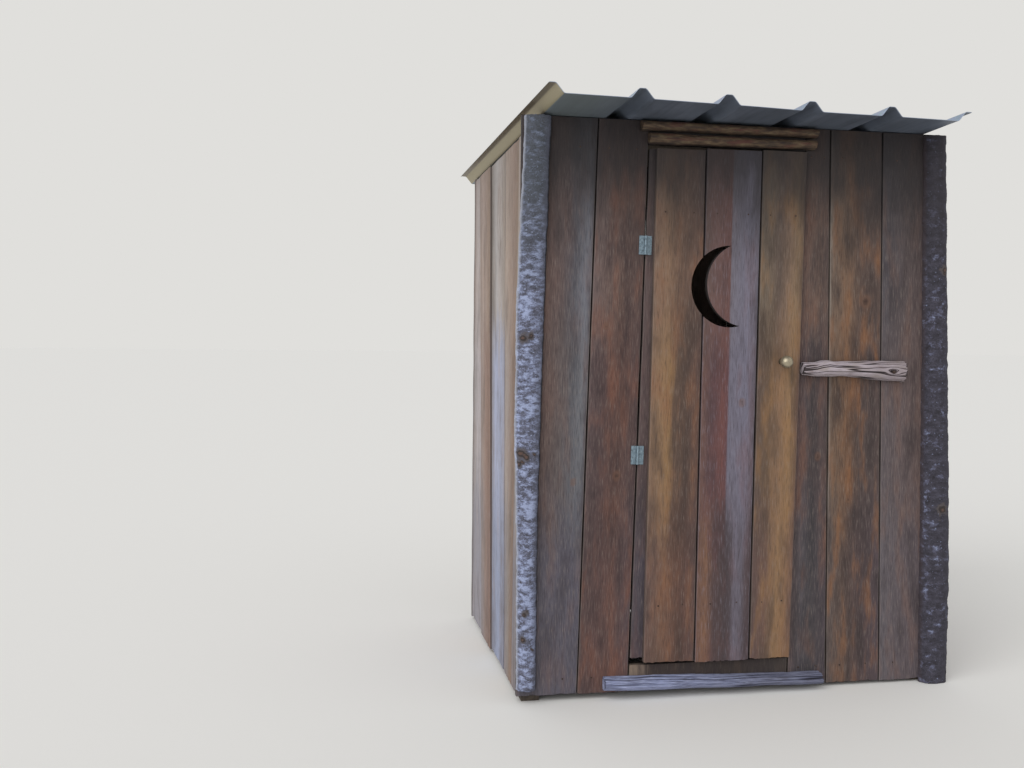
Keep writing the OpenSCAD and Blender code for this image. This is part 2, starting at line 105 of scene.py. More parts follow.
# %% [markdown]
# Every finish is a small tree of nodes. One function adds a node, sets what it has and links what
# feeds it. Colours are written as sRGB hex, the way a paint card gives them, and turned to linear light.

# %% Nodes and colours
def tint(code):
    """sRGB hex to linear: below 0.04045 a share of 1/12.92, above it the power 2.4 of (c + 0.055) / 1.055."""
    srgb = [int(code[i:i + 2], 16) / 255 for i in (1, 3, 5)]
    return tuple(c / 12.92 if c <= 0.04045 else ((c + 0.055) / 1.055) ** 2.4 for c in srgb) + (1.0,)


def ramp(text):
    """Stops of a ramp, from pairs of a place from 0 to 1 and an sRGB hex, all in one string."""
    words = text.split()
    return [(float(place), code) for place, code in zip(words[::2], words[1::2])]


def add(tree, kind, feeds=None, stops=None, **settings):
    """Adds one node. feeds gives each socket a value, a node (its first output) or an output, and stops
    are a ramp's, as a string."""
    made = tree.nodes.new("ShaderNode" + kind)
    for key, value in settings.items():
        setattr(made, key, value)
    for key, value in (feeds or {}).items():
        if isinstance(value, bpy.types.Node):
            value = value.outputs[0]
        if isinstance(value, bpy.types.NodeSocket):
            tree.links.new(value, made.inputs[key])
        else:
            made.inputs[key].default_value = value
    if stops:
        elements, given = made.color_ramp.elements, ramp(stops)
        while len(elements) < len(given):
            elements.new(0.5)
        for element, (place, code) in zip(elements, given):
            element.position = place
            element.color = tint(code)
    return made


def carried(tree, *names):
    """What a piece carries: the place on its grain map, and its values with the given names."""
    values = [add(tree, "Attribute", attribute_name=name).outputs["Fac"] for name in names]
    return [add(tree, "UVMap", uv_map="grain").outputs[0]] + values


def new_finish(name, roughness, metallic=0.0, ior=None):
    """A material with its shader's constant values set on the shader itself."""
    finish = bpy.data.materials.new(name)
    finish.use_nodes = True
    shader = finish.node_tree.nodes["Principled BSDF"]
    shader.inputs["Roughness"].default_value = roughness
    shader.inputs["Metallic"].default_value = metallic
    if ior:
        shader.inputs["IOR"].default_value = ior
    return finish, finish.node_tree, shader


def field(tree, place, sizes, detail=3.0, roughness=0.55):
    """Noise whose blotches are about as large as sizes, in metres, on the given coordinates."""
    pulled = add(tree, "Mapping", {"Vector": place, "Scale": tuple(1 / size for size in sizes)})
    return add(tree, "TexNoise", {"Vector": pulled, "Scale": 1.0, "Detail": detail, "Roughness": roughness})


def laid(tree, base, *layers):
    """Lays colours over base. A layer is a colour, a mask, the mask's span from none to full, and the
    colour's share at full."""
    for code, mask, span, most in layers:
        share = add(tree, "MapRange", {0: mask, 1: span[0], 2: span[1], 3: 0.0, 4: most})
        base = add(tree, "MixRGB", {"Fac": share, 1: base, 2: tint(code)})
    return base


def closed(tree, shader, base, height=None, depth=0.001, strength=1.0):
    """Ends a tree: the colour goes to the shader, and a height in shares of depth to its normal."""
    tree.links.new(base.outputs[0], shader.inputs["Base Color"])
    if height:
        bump = add(tree, "Bump", {"Height": height, "Strength": strength, "Distance": depth})
        tree.links.new(bump.outputs[0], shader.inputs["Normal"])


print("linear value of a mid grey:", tuple(round(c, 3) for c in tint("#808080")))

# %% [markdown]
# Bare softwood that has stood outside for years has four things to see: broad bands along the
# board where sun and rain took the colour, soft blotches a hand long, a fine grain, and dirt in
# the joints and under the eaves. Over that dirt lie painted shade in the joints and the roof's painted
# shadow under the eaves. Three ramps give the bands, one for the upper part of the board, one
# for the middle and one for the foot, and noise pulled long along the board breaks them up. Wood is
# a dull dielectric, so its IOR is 1.5 and it is rough. Real grain lines are under a millimetre, too
# fine for the picture, so they are drawn about 4 mm apart.

# %% Weathered board
UPPER_TO_MIDDLE = (1.42, 1.18)
MIDDLE_TO_FOOT = (0.78, 0.48)
# Dirt and painted shade in the joints; dirt and the roof's painted shadow under the eaves.
JOINT_DIRT_AND_SHADE = "#1d1a1b"
EAVES_DIRT_AND_SHADOW = "#242123"


def weathered_board(name, bands, warm="#7c4f36", dark="#2f2629", pale="#93877f", eaves=0.85, blotch=0.6,
                    wander=1.0, line=0.012):
    """Bands across the board from three ramps blended by height, with blotches, grain, dirt and painted shade
    over them.
    eaves is the most that dirt and the roof's painted shadow cover under the eaves, and blotch the most that
    blotches cover; wander is how far the bands stray, and line how wide their streaks are, in metres."""
    finish, tree, shader = new_finish(name, 0.86, ior=1.5)
    place, across, knot = carried(tree, "across", "knot")
    height = add(tree, "SeparateXYZ", {0: place}).outputs["Y"]
    cloud = field(tree, place, (0.10, 0.38, 1), 3.0, 0.55)
    blush = field(tree, place, (0.050, 0.24, 1), 3.5, 0.55)
    streak = field(tree, place, (line, 18 * line, 1), 3.0, 0.6)
    grain = field(tree, place, (0.0035, 0.045, 1), 3.0, 0.65)
    moved = add(tree, "Math", {0: cloud, 1: 0.20 * wander, 2: -0.17 * wander}, operation="MULTIPLY_ADD")
    moved = add(tree, "Math", {0: streak, 1: 0.14 * wander, 2: moved}, operation="MULTIPLY_ADD")
    moved = add(tree, "Math", {0: moved, 1: across}, operation="ADD")
    drift = add(tree, "Math", {0: blush, 1: 0.5, 2: height}, operation="MULTIPLY_ADD")
    base = add(tree, "ValToRGB", {"Fac": moved}, bands[0])
    for stops, (start, end) in zip(bands[1:], (UPPER_TO_MIDDLE, MIDDLE_TO_FOOT)):
        band = add(tree, "ValToRGB", {"Fac": moved}, stops)
        share = add(tree, "MapRange", {0: drift, 1: start + 0.25, 2: end + 0.25, 3: 0.0, 4: 1.0})
        base = add(tree, "MixRGB", {"Fac": share, 1: base, 2: band})
    from_edge = add(tree, "Math", {0: across, 1: 0.5}, operation="PINGPONG")
    shade = add(tree, "Math", {0: cloud, 1: 0.5, 2: height}, operation="MULTIPLY_ADD")
    base = laid(
        tree, base,
        (warm, blush, (0.50, 0.70), blotch),
        (dark, blush, (0.50, 0.30), blotch),
        (dark, cloud, (0.46, 0.30), 0.5),
        (dark, streak, (0.54, 0.78), 0.45),
        (pale, grain, (0.53, 0.72), 0.34),
        (dark, grain, (0.48, 0.28), 0.62),
        (pale, from_edge, (0.018, 0.012), 0.2),
        # Dirt and painted shade in the joints, darkest at the board's two edges.
        (JOINT_DIRT_AND_SHADE, from_edge, (0.008, 0.002), 0.55),
        # Dirt and the roof's painted shadow, strongest under the eaves.
        (EAVES_DIRT_AND_SHADOW, shade, (1.80, 2.15), eaves),
        ("#6e4e3c", knot, (0.15, 0.5), 0.4),
        ("#33221d", knot, (0.65, 0.95), 0.8))
    relief = add(tree, "Math", {0: grain, 1: 0.7, 2: streak}, operation="MULTIPLY_ADD")
    closed(tree, shader, base, relief, 0.0012, 0.7)
    return finish


print("bands change between these heights:", UPPER_TO_MIDDLE, MIDDLE_TO_FOOT)

# %% [markdown]
# The colours of each board from its left edge to its right edge, for the upper part, the middle
# and the foot, as the eye reads them in open shade.

# %% Front board colours
BOARD = {
    "one": weathered_board("weathered fir, grey-brown", [
        "0 #6a5653 0.35 #6b5650 0.58 #5f5150 0.76 #56555c 0.93 #70717a 1 #5e5a60",
        "0 #635354 0.4 #64534f 0.62 #5f5656 0.78 #5b5b61 0.92 #6d6e74 1 #5a555a",
        "0 #565259 0.5 #5a5660 1 #55525d"], warm="#70544a", blotch=0.35),
    "two": weathered_board("weathered fir, red-brown", [
        "0 #6c5c5a 0.3 #66534e 0.6 #624d46 0.85 #5c4843 1 #51403d",
        "0 #5a4a4a 0.3 #523f3e 0.6 #5c423b 0.85 #5a4542 1 #4a393a",
        "0 #50403f 0.3 #5a4340 0.6 #5e4540 1 #524448"], warm="#774d3c", dark="#2c2327", blotch=0.6),
    "stile": weathered_board("weathered fir, edge", [
        "0 #5c4d4c 0.5 #5f5352 1 #524a4c",
        "0 #584848 0.5 #5c4c4b 1 #504343",
        "0 #4d464d 0.5 #4e4750 1 #423c42"], warm="#6c4a42", blotch=0.4),
    "three": weathered_board("weathered fir, dark", [
        "0 #5f4c47 0.3 #66524a 0.7 #665148 1 #5a4a45",
        "0 #5c4744 0.25 #54484a 0.5 #433a3b 0.8 #574746 1 #4c3d3a",
        "0 #5e5050 0.3 #565055 0.55 #454043 1 #4a4045"], warm="#74503f", dark="#29262a"),
    "four": weathered_board("weathered fir, ochre streak", [
        "0 #857a70 0.07 #6e5c50 0.35 #755c4a 0.6 #5e4c44 1 #594842",
        "0 #7c7068 0.08 #6e5848 0.35 #6f5340 0.6 #4c3f3c 1 #524442",
        "0 #5c504c 0.3 #5a4840 0.6 #4f4040 1 #504449"], warm="#855a3a", dark="#2f2728", blotch=0.7),
    "five": weathered_board("weathered fir, grey", [
        "0 #4f4b50 0.4 #554a4a 0.7 #574948 1 #4a3f3e",
        "0 #5e5659 0.4 #5e5151 0.75 #604e4a 1 #544542",
        "0 #605a5f 0.5 #5b5155 1 #524a50"], warm="#75574a", blotch=0.45),
    "shaded": weathered_board("weathered fir, shaded", [
        "0 #2c2626 1 #332b29"], warm="#3a2e2a", pale="#4a4442"),
    # The kick board is painted in the door's shadow: dark, with a lit strip at its left end where light
    # passes the stile's foot.
    "splashed": weathered_board("weathered fir, splashed", [
        "0 #8c7a6a 0.06 #7c6c60 0.11 #3c322f 0.6 #352d2b 1 #3f3836"],
        eaves=0.0, warm="#4c3e36", pale="#6a6058"),
}
print("front wall finishes:", len(BOARD))

# %% [markdown]
# The door's three boards are cedar, which goes ochre where it dries fast. The middle one lay half under
# another board, and only the half that the rain reached has silvered.

# %% Door board colours
BOARD["door one"] = weathered_board("weathered cedar, ochre", [
    "0 #7c6556 0.3 #826753 0.5 #705748 0.75 #695145 1 #5f4b44",
    "0 #7d6452 0.22 #8c6e52 0.40 #8a6b4a 0.50 #5e4a3e 0.72 #524038 1 #5c453e",
    "0 #66504a 0.3 #6f5345 0.6 #62463b 0.85 #5c433d 1 #52403e"], warm="#835a40", dark="#3a2f2c")
BOARD["door two"] = weathered_board("weathered cedar, half silvered", [
    "0 #62504b 0.25 #6a504c 0.47 #664844 0.50 #6f6a74 0.8 #757282 1 #65616c",
    "0 #6a5048 0.2 #5a4042 0.40 #6a4441 0.485 #634345 0.515 #6e6a78 0.85 #726e7e 1 #574c52",
    "0 #6e5246 0.16 #7c5a46 0.3 #554240 0.52 #463a3c 0.62 #4a4044 0.70 #69636f 0.82 #5f5963"
    " 0.90 #54474b 1 #48393b"],
    warm="#6c4640", dark="#3a3034", pale="#8f8c9a", blotch=0.35, wander=0.35)
BOARD["door three"] = weathered_board("weathered cedar, olive", [
    "0 #6c5f52 0.25 #6a5b4e 0.45 #62524a 0.65 #7d6656 0.85 #846c54 1 #675244",
    "0 #5c4b43 0.3 #65503f 0.55 #866850 0.8 #8a6c4e 1 #62493f",
    "0 #5c4845 0.3 #6a5147 0.6 #8b6c4e 0.85 #80614a 1 #664e46"], warm="#8f6a44", dark="#453930")
print("door finishes:", [name for name in BOARD if name.startswith("door")])

# %% [markdown]
# The side walls see more sun. Their boards have gone silver, blue-grey or tan, and stay brown only along
# some edges that a neighbour once covered. Their pale colours are partly painted light, as bright as the left
# wall looks in the stronger light from the left. The first place of each ramp is the board's front edge.

# %% Side board colours
SILVER = {"warm": "#9c8270", "dark": "#5f524b", "pale": "#b7b2b4", "eaves": 0.2, "blotch": 0.3, "line": 0.026}
# Ramps of silvered wood, partly painted lighter with the light that falls on the left wall.
BOARD["pale side"] = weathered_board("silvered fir, pale", [
    "0 #b4a9a7 0.5 #baafac 1 #a49894", "0 #b0a8aa 0.5 #b4acae 1 #96908f",
    "0 #9896a0 1 #8f8c94"], **SILVER)
BOARD["tan side"] = weathered_board("silvered fir, tan", [
    "0 #83705f 0.3 #947f73 0.6 #9e8b7f 0.9 #ab9b90 1 #96867c",
    "0 #7b6659 0.3 #856f62 0.6 #988880 0.85 #a49994 1 #8e827c",
    "0 #7c6659 0.3 #846f62 0.6 #8c837f 1 #858088"], **SILVER)
BOARD["blue side"] = weathered_board("silvered fir, blue-grey", [
    "0 #958a80 0.3 #aea49f 0.6 #b2adac 1 #8f8883",
    "0 #989aac 0.3 #a4aac2 0.7 #aab1cb 1 #918f98",
    "0 #8e92a6 0.5 #97a0ba 1 #868ca0"], **SILVER)
BOARD["pink side"] = weathered_board("silvered fir, red-brown", [
    "0 #8a7565 0.3 #9c887c 0.7 #aa988f 1 #96867c",
    "0 #8a6e60 0.25 #846a5f 0.45 #967c70 0.8 #9c8c85 1 #8e7c76",
    "0 #85695d 0.3 #7f675f 0.5 #8f7970 0.8 #8c8282 1 #857a78"], **SILVER)
BOARD["grey side"] = weathered_board("silvered fir, grey", [
    "0 #a09188 0.5 #b0a49e 1 #93867c", "0 #988d89 0.5 #a69d9a 1 #8b817b",
    "0 #837d80 1 #7d7880"], **SILVER)
print("all board finishes:", len(BOARD))

# %% [markdown]
# Nothing on the house is perfectly straight or flat. The wander of an edge or a face is the mean of
# some sine waves with drawn directions and phases: smooth, cheap and the same at every run.

# %% Wander
def waves(a, b, seed, size_a, size_b, count=20):
    """The sum of count sines of (a / size_a, b / size_b), with drawn factors and phases, scaled to about
    -1 to 1."""
    draw = np.random.default_rng(seed)
    factor_a = draw.normal(0, 2.2, count)
    factor_b = draw.normal(0, 2.2, count)
    phase = draw.uniform(0, 2 * math.pi, count)
    a = np.asarray(a, float)[..., None] / size_a
    b = np.asarray(b, float)[..., None] / size_b
    return np.sin(a * factor_a + b * factor_b + phase).sum(-1) * math.sqrt(1.0 / count)


print("a wander from -1 to 1:", [round(float(v), 2) for v in waves(np.arange(5), 0, 1, 1.0, 1.0)])

# %% [markdown]
# A piece is one or more closed grids: rings of points carried along a path, with both ends capped.
# Each grid brings its own measured map, in metres, and values such as where a knot is, so that
# the finish can follow the board however it leans.

# %% Making a piece
def shell(points, uv, slot=0, thin=False, **values):
    """One closed grid: points (rows, around, 3), its map uv, which wraps after the last column unless it has
    one more, and values given per point."""
    points, uv = np.asarray(points, float), np.asarray(uv, float)
    if uv.shape[1] == points.shape[1]:
        uv = np.concatenate([uv, uv[:, :1]], 1)
    return {"points": points, "uv": uv, "slot": slot, "thin": thin, "values": values}


def shell_faces(rows, around, thin=False):
    """Quads between each ring and the next, and a cap at each end: one face, or for a thin ring a strip."""
    i, j = np.meshgrid(np.arange(rows - 1), np.arange(around), indexing="ij")
    k = (j + 1) % around
    quads = [i * around + j, i * around + k, (i + 1) * around + k, (i + 1) * around + j]
    last = (rows - 1) * around
    if thin:
        j = np.arange(around // 2 - 1)
        strip = np.stack([j, around - 1 - j, around - 2 - j, j + 1], -1)
        caps = np.concatenate([strip, strip[:, ::-1] + last]).tolist()
    else:
        caps = [np.arange(around)[::-1].tolist(), (np.arange(around) + last).tolist()]
    return np.stack(quads, -1).reshape(-1, 4).tolist(), caps


def face_outwards(mesh):
    """Recalculates the normals of a closed mesh, so that its faces point outwards."""
    turned = bmesh.new()
    turned.from_mesh(mesh)
    bmesh.ops.recalc_face_normals(turned, faces=turned.faces)
    turned.to_mesh(mesh)
    turned.free()


def make_piece(name, shells, finishes, body, replaced=(), smooth=40):
    """Joins the shells into one object, turns its faces outwards and hands it to the frame."""
    points, faces, uvs, slots, start = [], [], [], [], 0
    for part in shells:
        rows, around = part["points"].shape[:2]
        quads, caps = shell_faces(rows, around, part["thin"])
        uv = part["uv"]
        corners = np.stack([uv[:-1, :-1], uv[:-1, 1:], uv[1:, 1:], uv[1:, :-1]], -2).reshape(-1, 2)
        flat = uv[:, :-1].reshape(-1, 2)
        uvs += [corners] + [flat[np.array(cap) % len(flat)] for cap in caps]
        faces += [[v + start for v in face] for face in quads + caps]
        points.append(part["points"].reshape(-1, 3))
        slots += [part["slot"]] * (len(quads) + len(caps))
        start += rows * around
    mesh = bpy.data.meshes.new(name)
    mesh.from_pydata(at_house(np.concatenate(points)).tolist(), [], faces)
    layer = mesh.uv_layers.new(name="grain")
    layer.data.foreach_set("uv", np.concatenate(uvs).astype(np.float32).ravel())
    for key in shells[0]["values"]:
        held = mesh.attributes.new(key, "FLOAT", "POINT")
        given = np.concatenate([part["values"][key].ravel() for part in shells])
        held.data.foreach_set("value", given.astype(np.float32))
    for finish in finishes:
        mesh.materials.append(finish)
    mesh.polygons.foreach_set("material_index", slots)
    face_outwards(mesh)
    mesh.polygons.foreach_set("use_smooth", [True] * len(mesh.polygons))
    mesh.set_sharp_from_angle(angle=math.radians(smooth))
    made = bpy.data.objects.new(name, mesh)
    scene.collection.objects.link(made)
    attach(made, body)
    if replaced:
        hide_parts(*replaced)
    print(name, len(mesh.polygons), "faces")
    return made


def corner_points(mesh):
    """A mesh's corner points in house coordinates."""
    co = np.empty(len(mesh.vertices) * 3)
    mesh.vertices.foreach_get("co", co)
    return co.reshape(-1, 3) - np.array([SHIFT_X, SHIFT_Y, 0.0])


def node_points(node):
    """The same for a node of the frame."""
    return corner_points(nodes[node].data)


print("corner points of the left wall:", len(node_points("left_wall_boards")))

# %% [markdown]
# A board is sawn square, and then its arrises wear round, its face dries into a slight relief and
# its foot frays. Its ring is a rectangle with eased corners; the ring follows the board's two
# leaning edges up the wall. Only the ring's inward side is ever moved, so the board keeps its place.

# %% One board
EASE = 0.0022
ROW_PITCH = 0.013
ARRIS_WEAR = 0.0006
FINE_RELIEF = 0.0004
BROAD_RELIEF = 0.0007
USUAL_WIDTH = 0.2


def part_way(ends, share):
    """From the first of two numbers to the second, by a share of the way."""
    return ends[0] + (ends[1] - ends[0]) * share


def board_ring(face_points, back_points):
    """Ring of (share across, shift across, depth share, depth shift), outer face first. A corner is eased
    by an arc of radius EASE, whose middle lies 0.29 of the radius in from both faces."""
    e, h = EASE, EASE * 0.29
    face = [(s, 0, 0, 0) for s in np.linspace(0, 1, face_points)[1:-1]]
    back = [(s, 0, 1, 0) for s in np.linspace(1, 0, back_points)[1:-1]]
    left_face = [(0, 0, 0, e), (0, h, 0, h), (0, e, 0, 0)]
    right_face = [(1, -e, 0, 0), (1, -h, 0, h), (1, 0, 0, e)]
    right_back = [(1, 0, 1, -e), (1, -h, 1, -h), (1, -e, 1, 0)]
    left_back = [(0, e, 1, 0), (0, h, 1, -h), (0, 0, 1, -e)]
    return np.array(left_face + face + right_face + right_back + back + left_back)


def board_shell(left, right, z, face, thick, seed, axis=0, knots=(), slot=0, fray=0.003, face_points=26):
    """left and right are the edges at the foot and at the head, z the foot and head heights, face the
    outer face. A point is left + share * width along the wall, face + depth inwards, and z upwards."""
    ring = board_ring(face_points, 8)
    rows = max(24, int((z[1] - z[0]) / ROW_PITCH))
    up_share = np.linspace(0, 1, rows)[:, None]
    height, left_edge, right_edge = (part_way(ends, up_share) for ends in (z, left, right))
    share, shift, deep, deep_shift = (ring[None, :, k] for k in range(4))
    wear_left = ARRIS_WEAR * (1 + waves(height, 0 * height, seed + 1, 0.12, 1.0)).clip(0)
    wear_right = ARRIS_WEAR * (1 + waves(height, 0 * height, seed + 2, 0.12, 1.0)).clip(0)
    along = left_edge + share * (right_edge - left_edge) + shift
    along = along + np.where(share < 0.001, wear_left, 0) - np.where(share > 0.999, wear_right, 0)
    relief = FINE_RELIEF * (1 + waves(along, height, seed + 3, 0.012, 0.30))
    relief = (relief + BROAD_RELIEF * (1 + waves(along, height, seed + 4, 0.07, 0.8))).clip(0)
    depth = deep * abs(thick) + deep_shift + np.where(deep < 0.5, relief, -relief)
    rise = fray * np.abs(waves(along, 0 * along, seed + 5, 0.015, 1.0)) * np.exp(-(height - z[0]) / 0.02)
    height = height + rise
    across = np.clip(share + (shift + 0 * along) / USUAL_WIDTH, 0, 1)
    knot = np.zeros_like(along)
    flow = along - left_edge
    for knot_share, knot_z, radius in knots:
        centre = left_edge + knot_share * (right_edge - left_edge)
        far = np.hypot(along - centre, (height - knot_z) * 0.8)
        wide = np.hypot(along - centre, (height - knot_z) * 0.35)
        knot = np.maximum(knot, np.exp(-(far / radius) ** 2) * (deep < 0.5))
        flow = flow - (along - centre) * 0.7 * np.exp(-(wide / (1.6 * radius)) ** 2)
    flow = flow + 3.7 * (seed % 17) + np.where(deep > 0.5, 1.3, 0)
    side = face + np.sign(thick) * depth
    points = np.stack([along, side, height] if axis == 0 else [side, along, height], -1)
    return shell(points, np.stack([flow, height], -1), slot, across=across, knot=knot)


def board_edges(points, axis=0):
    """A board's left and right edges as (foot, head), its heights and its two faces."""
    low, high = points[:, 2].min(), points[:, 2].max()
    foot = points[points[:, 2] < low + 1e-4][:, axis]
    head = points[points[:, 2] > high - 1e-4][:, axis]
    side = points[:, 1 - axis]
    return (foot.min(), head.min()), (foot.max(), head.max()), (low, high), (side.min(), side.max())


def dress_board(node, finish, body, seed, knots=(), fray=0.003):
    """Stands a worn board in place of a plain one."""
    left, right, z, faces = board_edges(node_points(node))
    part = board_shell(left, right, z, faces[0], faces[1] - faces[0], seed, knots=knots, fray=fray)
    return make_piece("worn_" + node, [part], [BOARD[finish]], body, (node,))


print("ring of a board:", len(board_ring(26, 8)), "points")

# %% [markdown]
# The front wall has two boards left of the door and three right of it, with a short one over the
# door and one under it. A knot is given by its share across the board, its height and its radius.

# %% Front wall boards
dress_board("front_board_1", "one", "hut", 11, knots=[(0.83, 0.78, 0.010)])
dress_board("front_board_2", "two", "hut", 12, knots=[(0.62, 0.80, 0.014), (0.3, 1.33, 0.010)])
dress_board("front_board_3", "three", "hut", 13, knots=[(0.7, 0.86, 0.012)])
dress_board("front_board_4", "four", "hut", 14, knots=[(0.70, 1.43, 0.020), (0.4, 0.70, 0.010)])
dress_board("front_board_5", "five", "hut", 15, knots=[(0.72, 1.93, 0.007)])
dress_board("header_board", "shaded", "hut", 16, fray=0.0)
dress_board("kick_board", "splashed", "hut", 17, fray=0.0)

# %% [markdown]
# The side and back walls are boards too, several in one node. Each board is a prism of 24 corner
# points in the node, so the node's points are taken 24 at a time.

# %% Side and back walls
def dress_wall(node, axis, outward, finishes, order, seed):
    """Stands worn boards in place of a wall of plain ones; outward is -1 or 1 along the other axis."""
    parts = []
    for i, points in enumerate(node_points(node).reshape(-1, 24, 3)):
        left, right, z, faces = board_edges(points, axis)
        outer = faces[0] if outward < 0 else faces[1]
        thick = -outward * (faces[1] - faces[0])
        parts.append(board_shell(left, right, z, outer, thick, seed + 7 * i, axis, slot=order[i % len(order)],
                                 face_points=18))
    return make_piece("worn_" + node, parts, [BOARD[f] for f in finishes], "hut", (node,))


LEFT_FINISHES = ("pale side", "tan side", "blue side", "grey side", "pink side")
RIGHT_FINISHES = ("pale side", "pink side", "grey side", "tan side")
BACK_FINISHES = ("grey side", "one", "tan side", "pink side")
dress_wall("left_wall_boards", 1, -1, LEFT_FINISHES, (3, 1, 2, 4, 0), 101)
dress_wall("right_wall_boards", 1, 1, RIGHT_FINISHES, (0, 1, 2, 0, 3), 151)
dress_wall("back_wall_boards", 0, 1, BACK_FINISHES, (0, 2, 3, 0, 1, 3, 0, 2), 201)

# %% [markdown]
# The door: a narrow stile on the hinge side and three boards over it. The moon goes through the
# first two boards. A crescent is one disc less another; its outline is an arc of the first circle
# closed by an arc of the second. A disc is given by its middle's x and height and its radius. A boolean
# cuts the moon, and is applied here, so that no cutter stays.

# %% Door
MOON = (-0.068, 1.474, 0.145)
MOON_CUT = (-0.004, 1.482, 0.150)
CUTTER_Y = (-0.06, 0.03)


def crescent(first, second, count=72):
    """Outline of disc first less disc second: both circles between the two points where they cross."""
    dx, dz = second[0] - first[0], second[1] - first[1]
    far = math.hypot(dx, dz)
    turn_to = math.atan2(dz, dx)
    half_a = math.acos((first[2] ** 2 + far ** 2 - second[2] ** 2) / (2 * first[2] * far))
    half_b = math.acos((second[2] ** 2 + far ** 2 - first[2] ** 2) / (2 * second[2] * far))
    a = np.linspace(turn_to + half_a, turn_to + 2 * math.pi - half_a, count)
    b = np.linspace(turn_to + math.pi + half_b, turn_to + math.pi - half_b, count)[1:-1]
    arcs = [(x + r * np.cos(t), z + r * np.sin(t)) for (x, z, r), t in ((first, a), (second, b))]
    return np.concatenate([np.stack(arc, -1) for arc in arcs])


def cut_moon(board, node):
    """Cuts the crescent through a board's mesh, and works its share across out again for the new points."""
    line = crescent(MOON, MOON_CUT)
    rings = np.stack([np.stack([line[:, 0], np.full(len(line), y), line[:, 1]], -1) for y in CUTTER_Y])
    quads, caps = shell_faces(2, len(line))
    tool_mesh = bpy.data.meshes.new("moon tool")
    tool_mesh.from_pydata(at_house(rings.reshape(-1, 3)).tolist(), [], quads + caps)
    for key, value in (("across", 0.5), ("knot", 0.0)):
        held = tool_mesh.attributes.new(key, "FLOAT", "POINT")
        held.data.foreach_set("value", np.full(len(line) * 2, value, np.float32))
    face_outwards(tool_mesh)
    tool_mesh.materials.append(BOARD["shaded"])
    tool = bpy.data.objects.new("moon tool", tool_mesh)
    scene.collection.objects.link(tool)
    cut = board.modifiers.new("moon", "BOOLEAN")
    cut.operation = "DIFFERENCE"
    cut.object = tool
    cut.solver = "EXACT"
    cut.material_mode = "TRANSFER"
    bpy.context.view_layer.update()
    done = bpy.data.meshes.new_from_object(board.evaluated_get(bpy.context.evaluated_depsgraph_get()))
    board.modifiers.clear()
    board.data = done
    bpy.data.objects.remove(tool)
    done.set_sharp_from_angle(angle=math.radians(40))
    left, right, z, _ = board_edges(node_points(node))
    x, _, height = corner_points(done).T
    up_share = (height - z[0]) / (z[1] - z[0])
    low, high = part_way(left, up_share), part_way(right, up_share)
    share = np.clip((x - low) / (high - low), 0, 1)
    done.attributes["across"].data.foreach_set("value", share.astype(np.float32))
    print(board.name, "after the cut:", len(done.polygons), "faces")


dress_board("door_stile", "stile", "door", 21)
first = dress_board("door_board_1", "door one", "door", 22)
second = dress_board("door_board_2", "door two", "door", 23, knots=[(0.75, 1.06, 0.012)])
dress_board("door_board_3", "door three", "door", 24)
cut_moon(first, "door_board_1")
cut_moon(second, "door_board_2")

# %% [markdown]
# Slabs are what a saw takes off a log's side first: flat behind, round and still barked in front.
# The round side's ring runs from edge to edge as (cos a, sin a to the power 0.8), a little squarer
# than a circle. Its width at each place is read from the node, and bark, knots and cracks only go inwards.

# %% Half logs
LOG_POWER = 0.8
BACK_POINTS = 9


def log_shell(node, seed, relief, upright=True, rows=260, round_points=44, ragged=0.002):
    """Points mid + (width / 2 - r) cos a across and (depth - r) sin(a) ** 0.8 outwards, r(p, arc) inwards."""
    co = node_points(node)
    run, wide = (2, 0) if upright else (0, 2)
    back, deep = co[:, 1].max(), co[:, 1].max() - co[:, 1].min()
    places = np.unique(np.round(co[:, run], 4))
    rings = [co[np.abs(co[:, run] - p) < 2e-4][:, wide] for p in places]
    spans = np.array([[ring.min(), ring.max()] for ring in rings])
    whole = spans[:, 1] - spans[:, 0] > 0.02
    places, spans = places[whole], spans[whole]
    behind = np.linspace(0, 1, BACK_POINTS)[1:-1]
    a = np.concatenate([np.linspace(0, math.pi, round_points), np.full(len(behind), math.pi)])[None, :]
    back_share = np.concatenate([np.zeros(round_points), behind])[None, :]
    front = back_share == 0
    p = np.linspace(places[0], places[-1], rows)[:, None] + 0 * a
    low, high = np.interp(p, places, spans[:, 0]), np.interp(p, places, spans[:, 1])
    middle, half = (low + high) / 2, (high - low) / 2
    arc = a * (half + deep) / 2
    r, values = relief(p, arc)
    r = np.where(front, r, 0)
    values = {key: np.where(front, value, 0.0) for key, value in values.items()}
    cos_a = np.where(front, np.cos(a), -1 + 2 * back_share)
    sin_a = np.where(front, np.abs(np.sin(a)) ** LOG_POWER, 0)
    across = middle + (half - r) * cos_a
    out = back - (deep - r) * sin_a
    ends = ragged * np.abs(waves(arc, 0 * arc, seed + 9, 0.012, 1.0)) * front
    from_ends = np.exp(-(p - places[0]) / 0.008) - np.exp(-(places[-1] - p) / 0.008)
    p = p + ends * from_ends
    points = np.stack([across, out, p] if upright else [p, out, across], -1)
    uv = np.stack([arc + back_share * 0.1 + seed, p], -1)
    return shell(points, uv, across=np.broadcast_to(a / math.pi, p.shape).copy(), **values)


def bump_at(p, arc, places, radius, size):
    """Sum of round humps exp(-(distance / radius) ** 2) of height size at (arc, p) places."""
    return sum(size * np.exp(-((p - q) ** 2 + (arc - c) ** 2) / radius ** 2) for c, q in places)


print("corner points of the left slab:", len(node_points("corner_slab_left")))
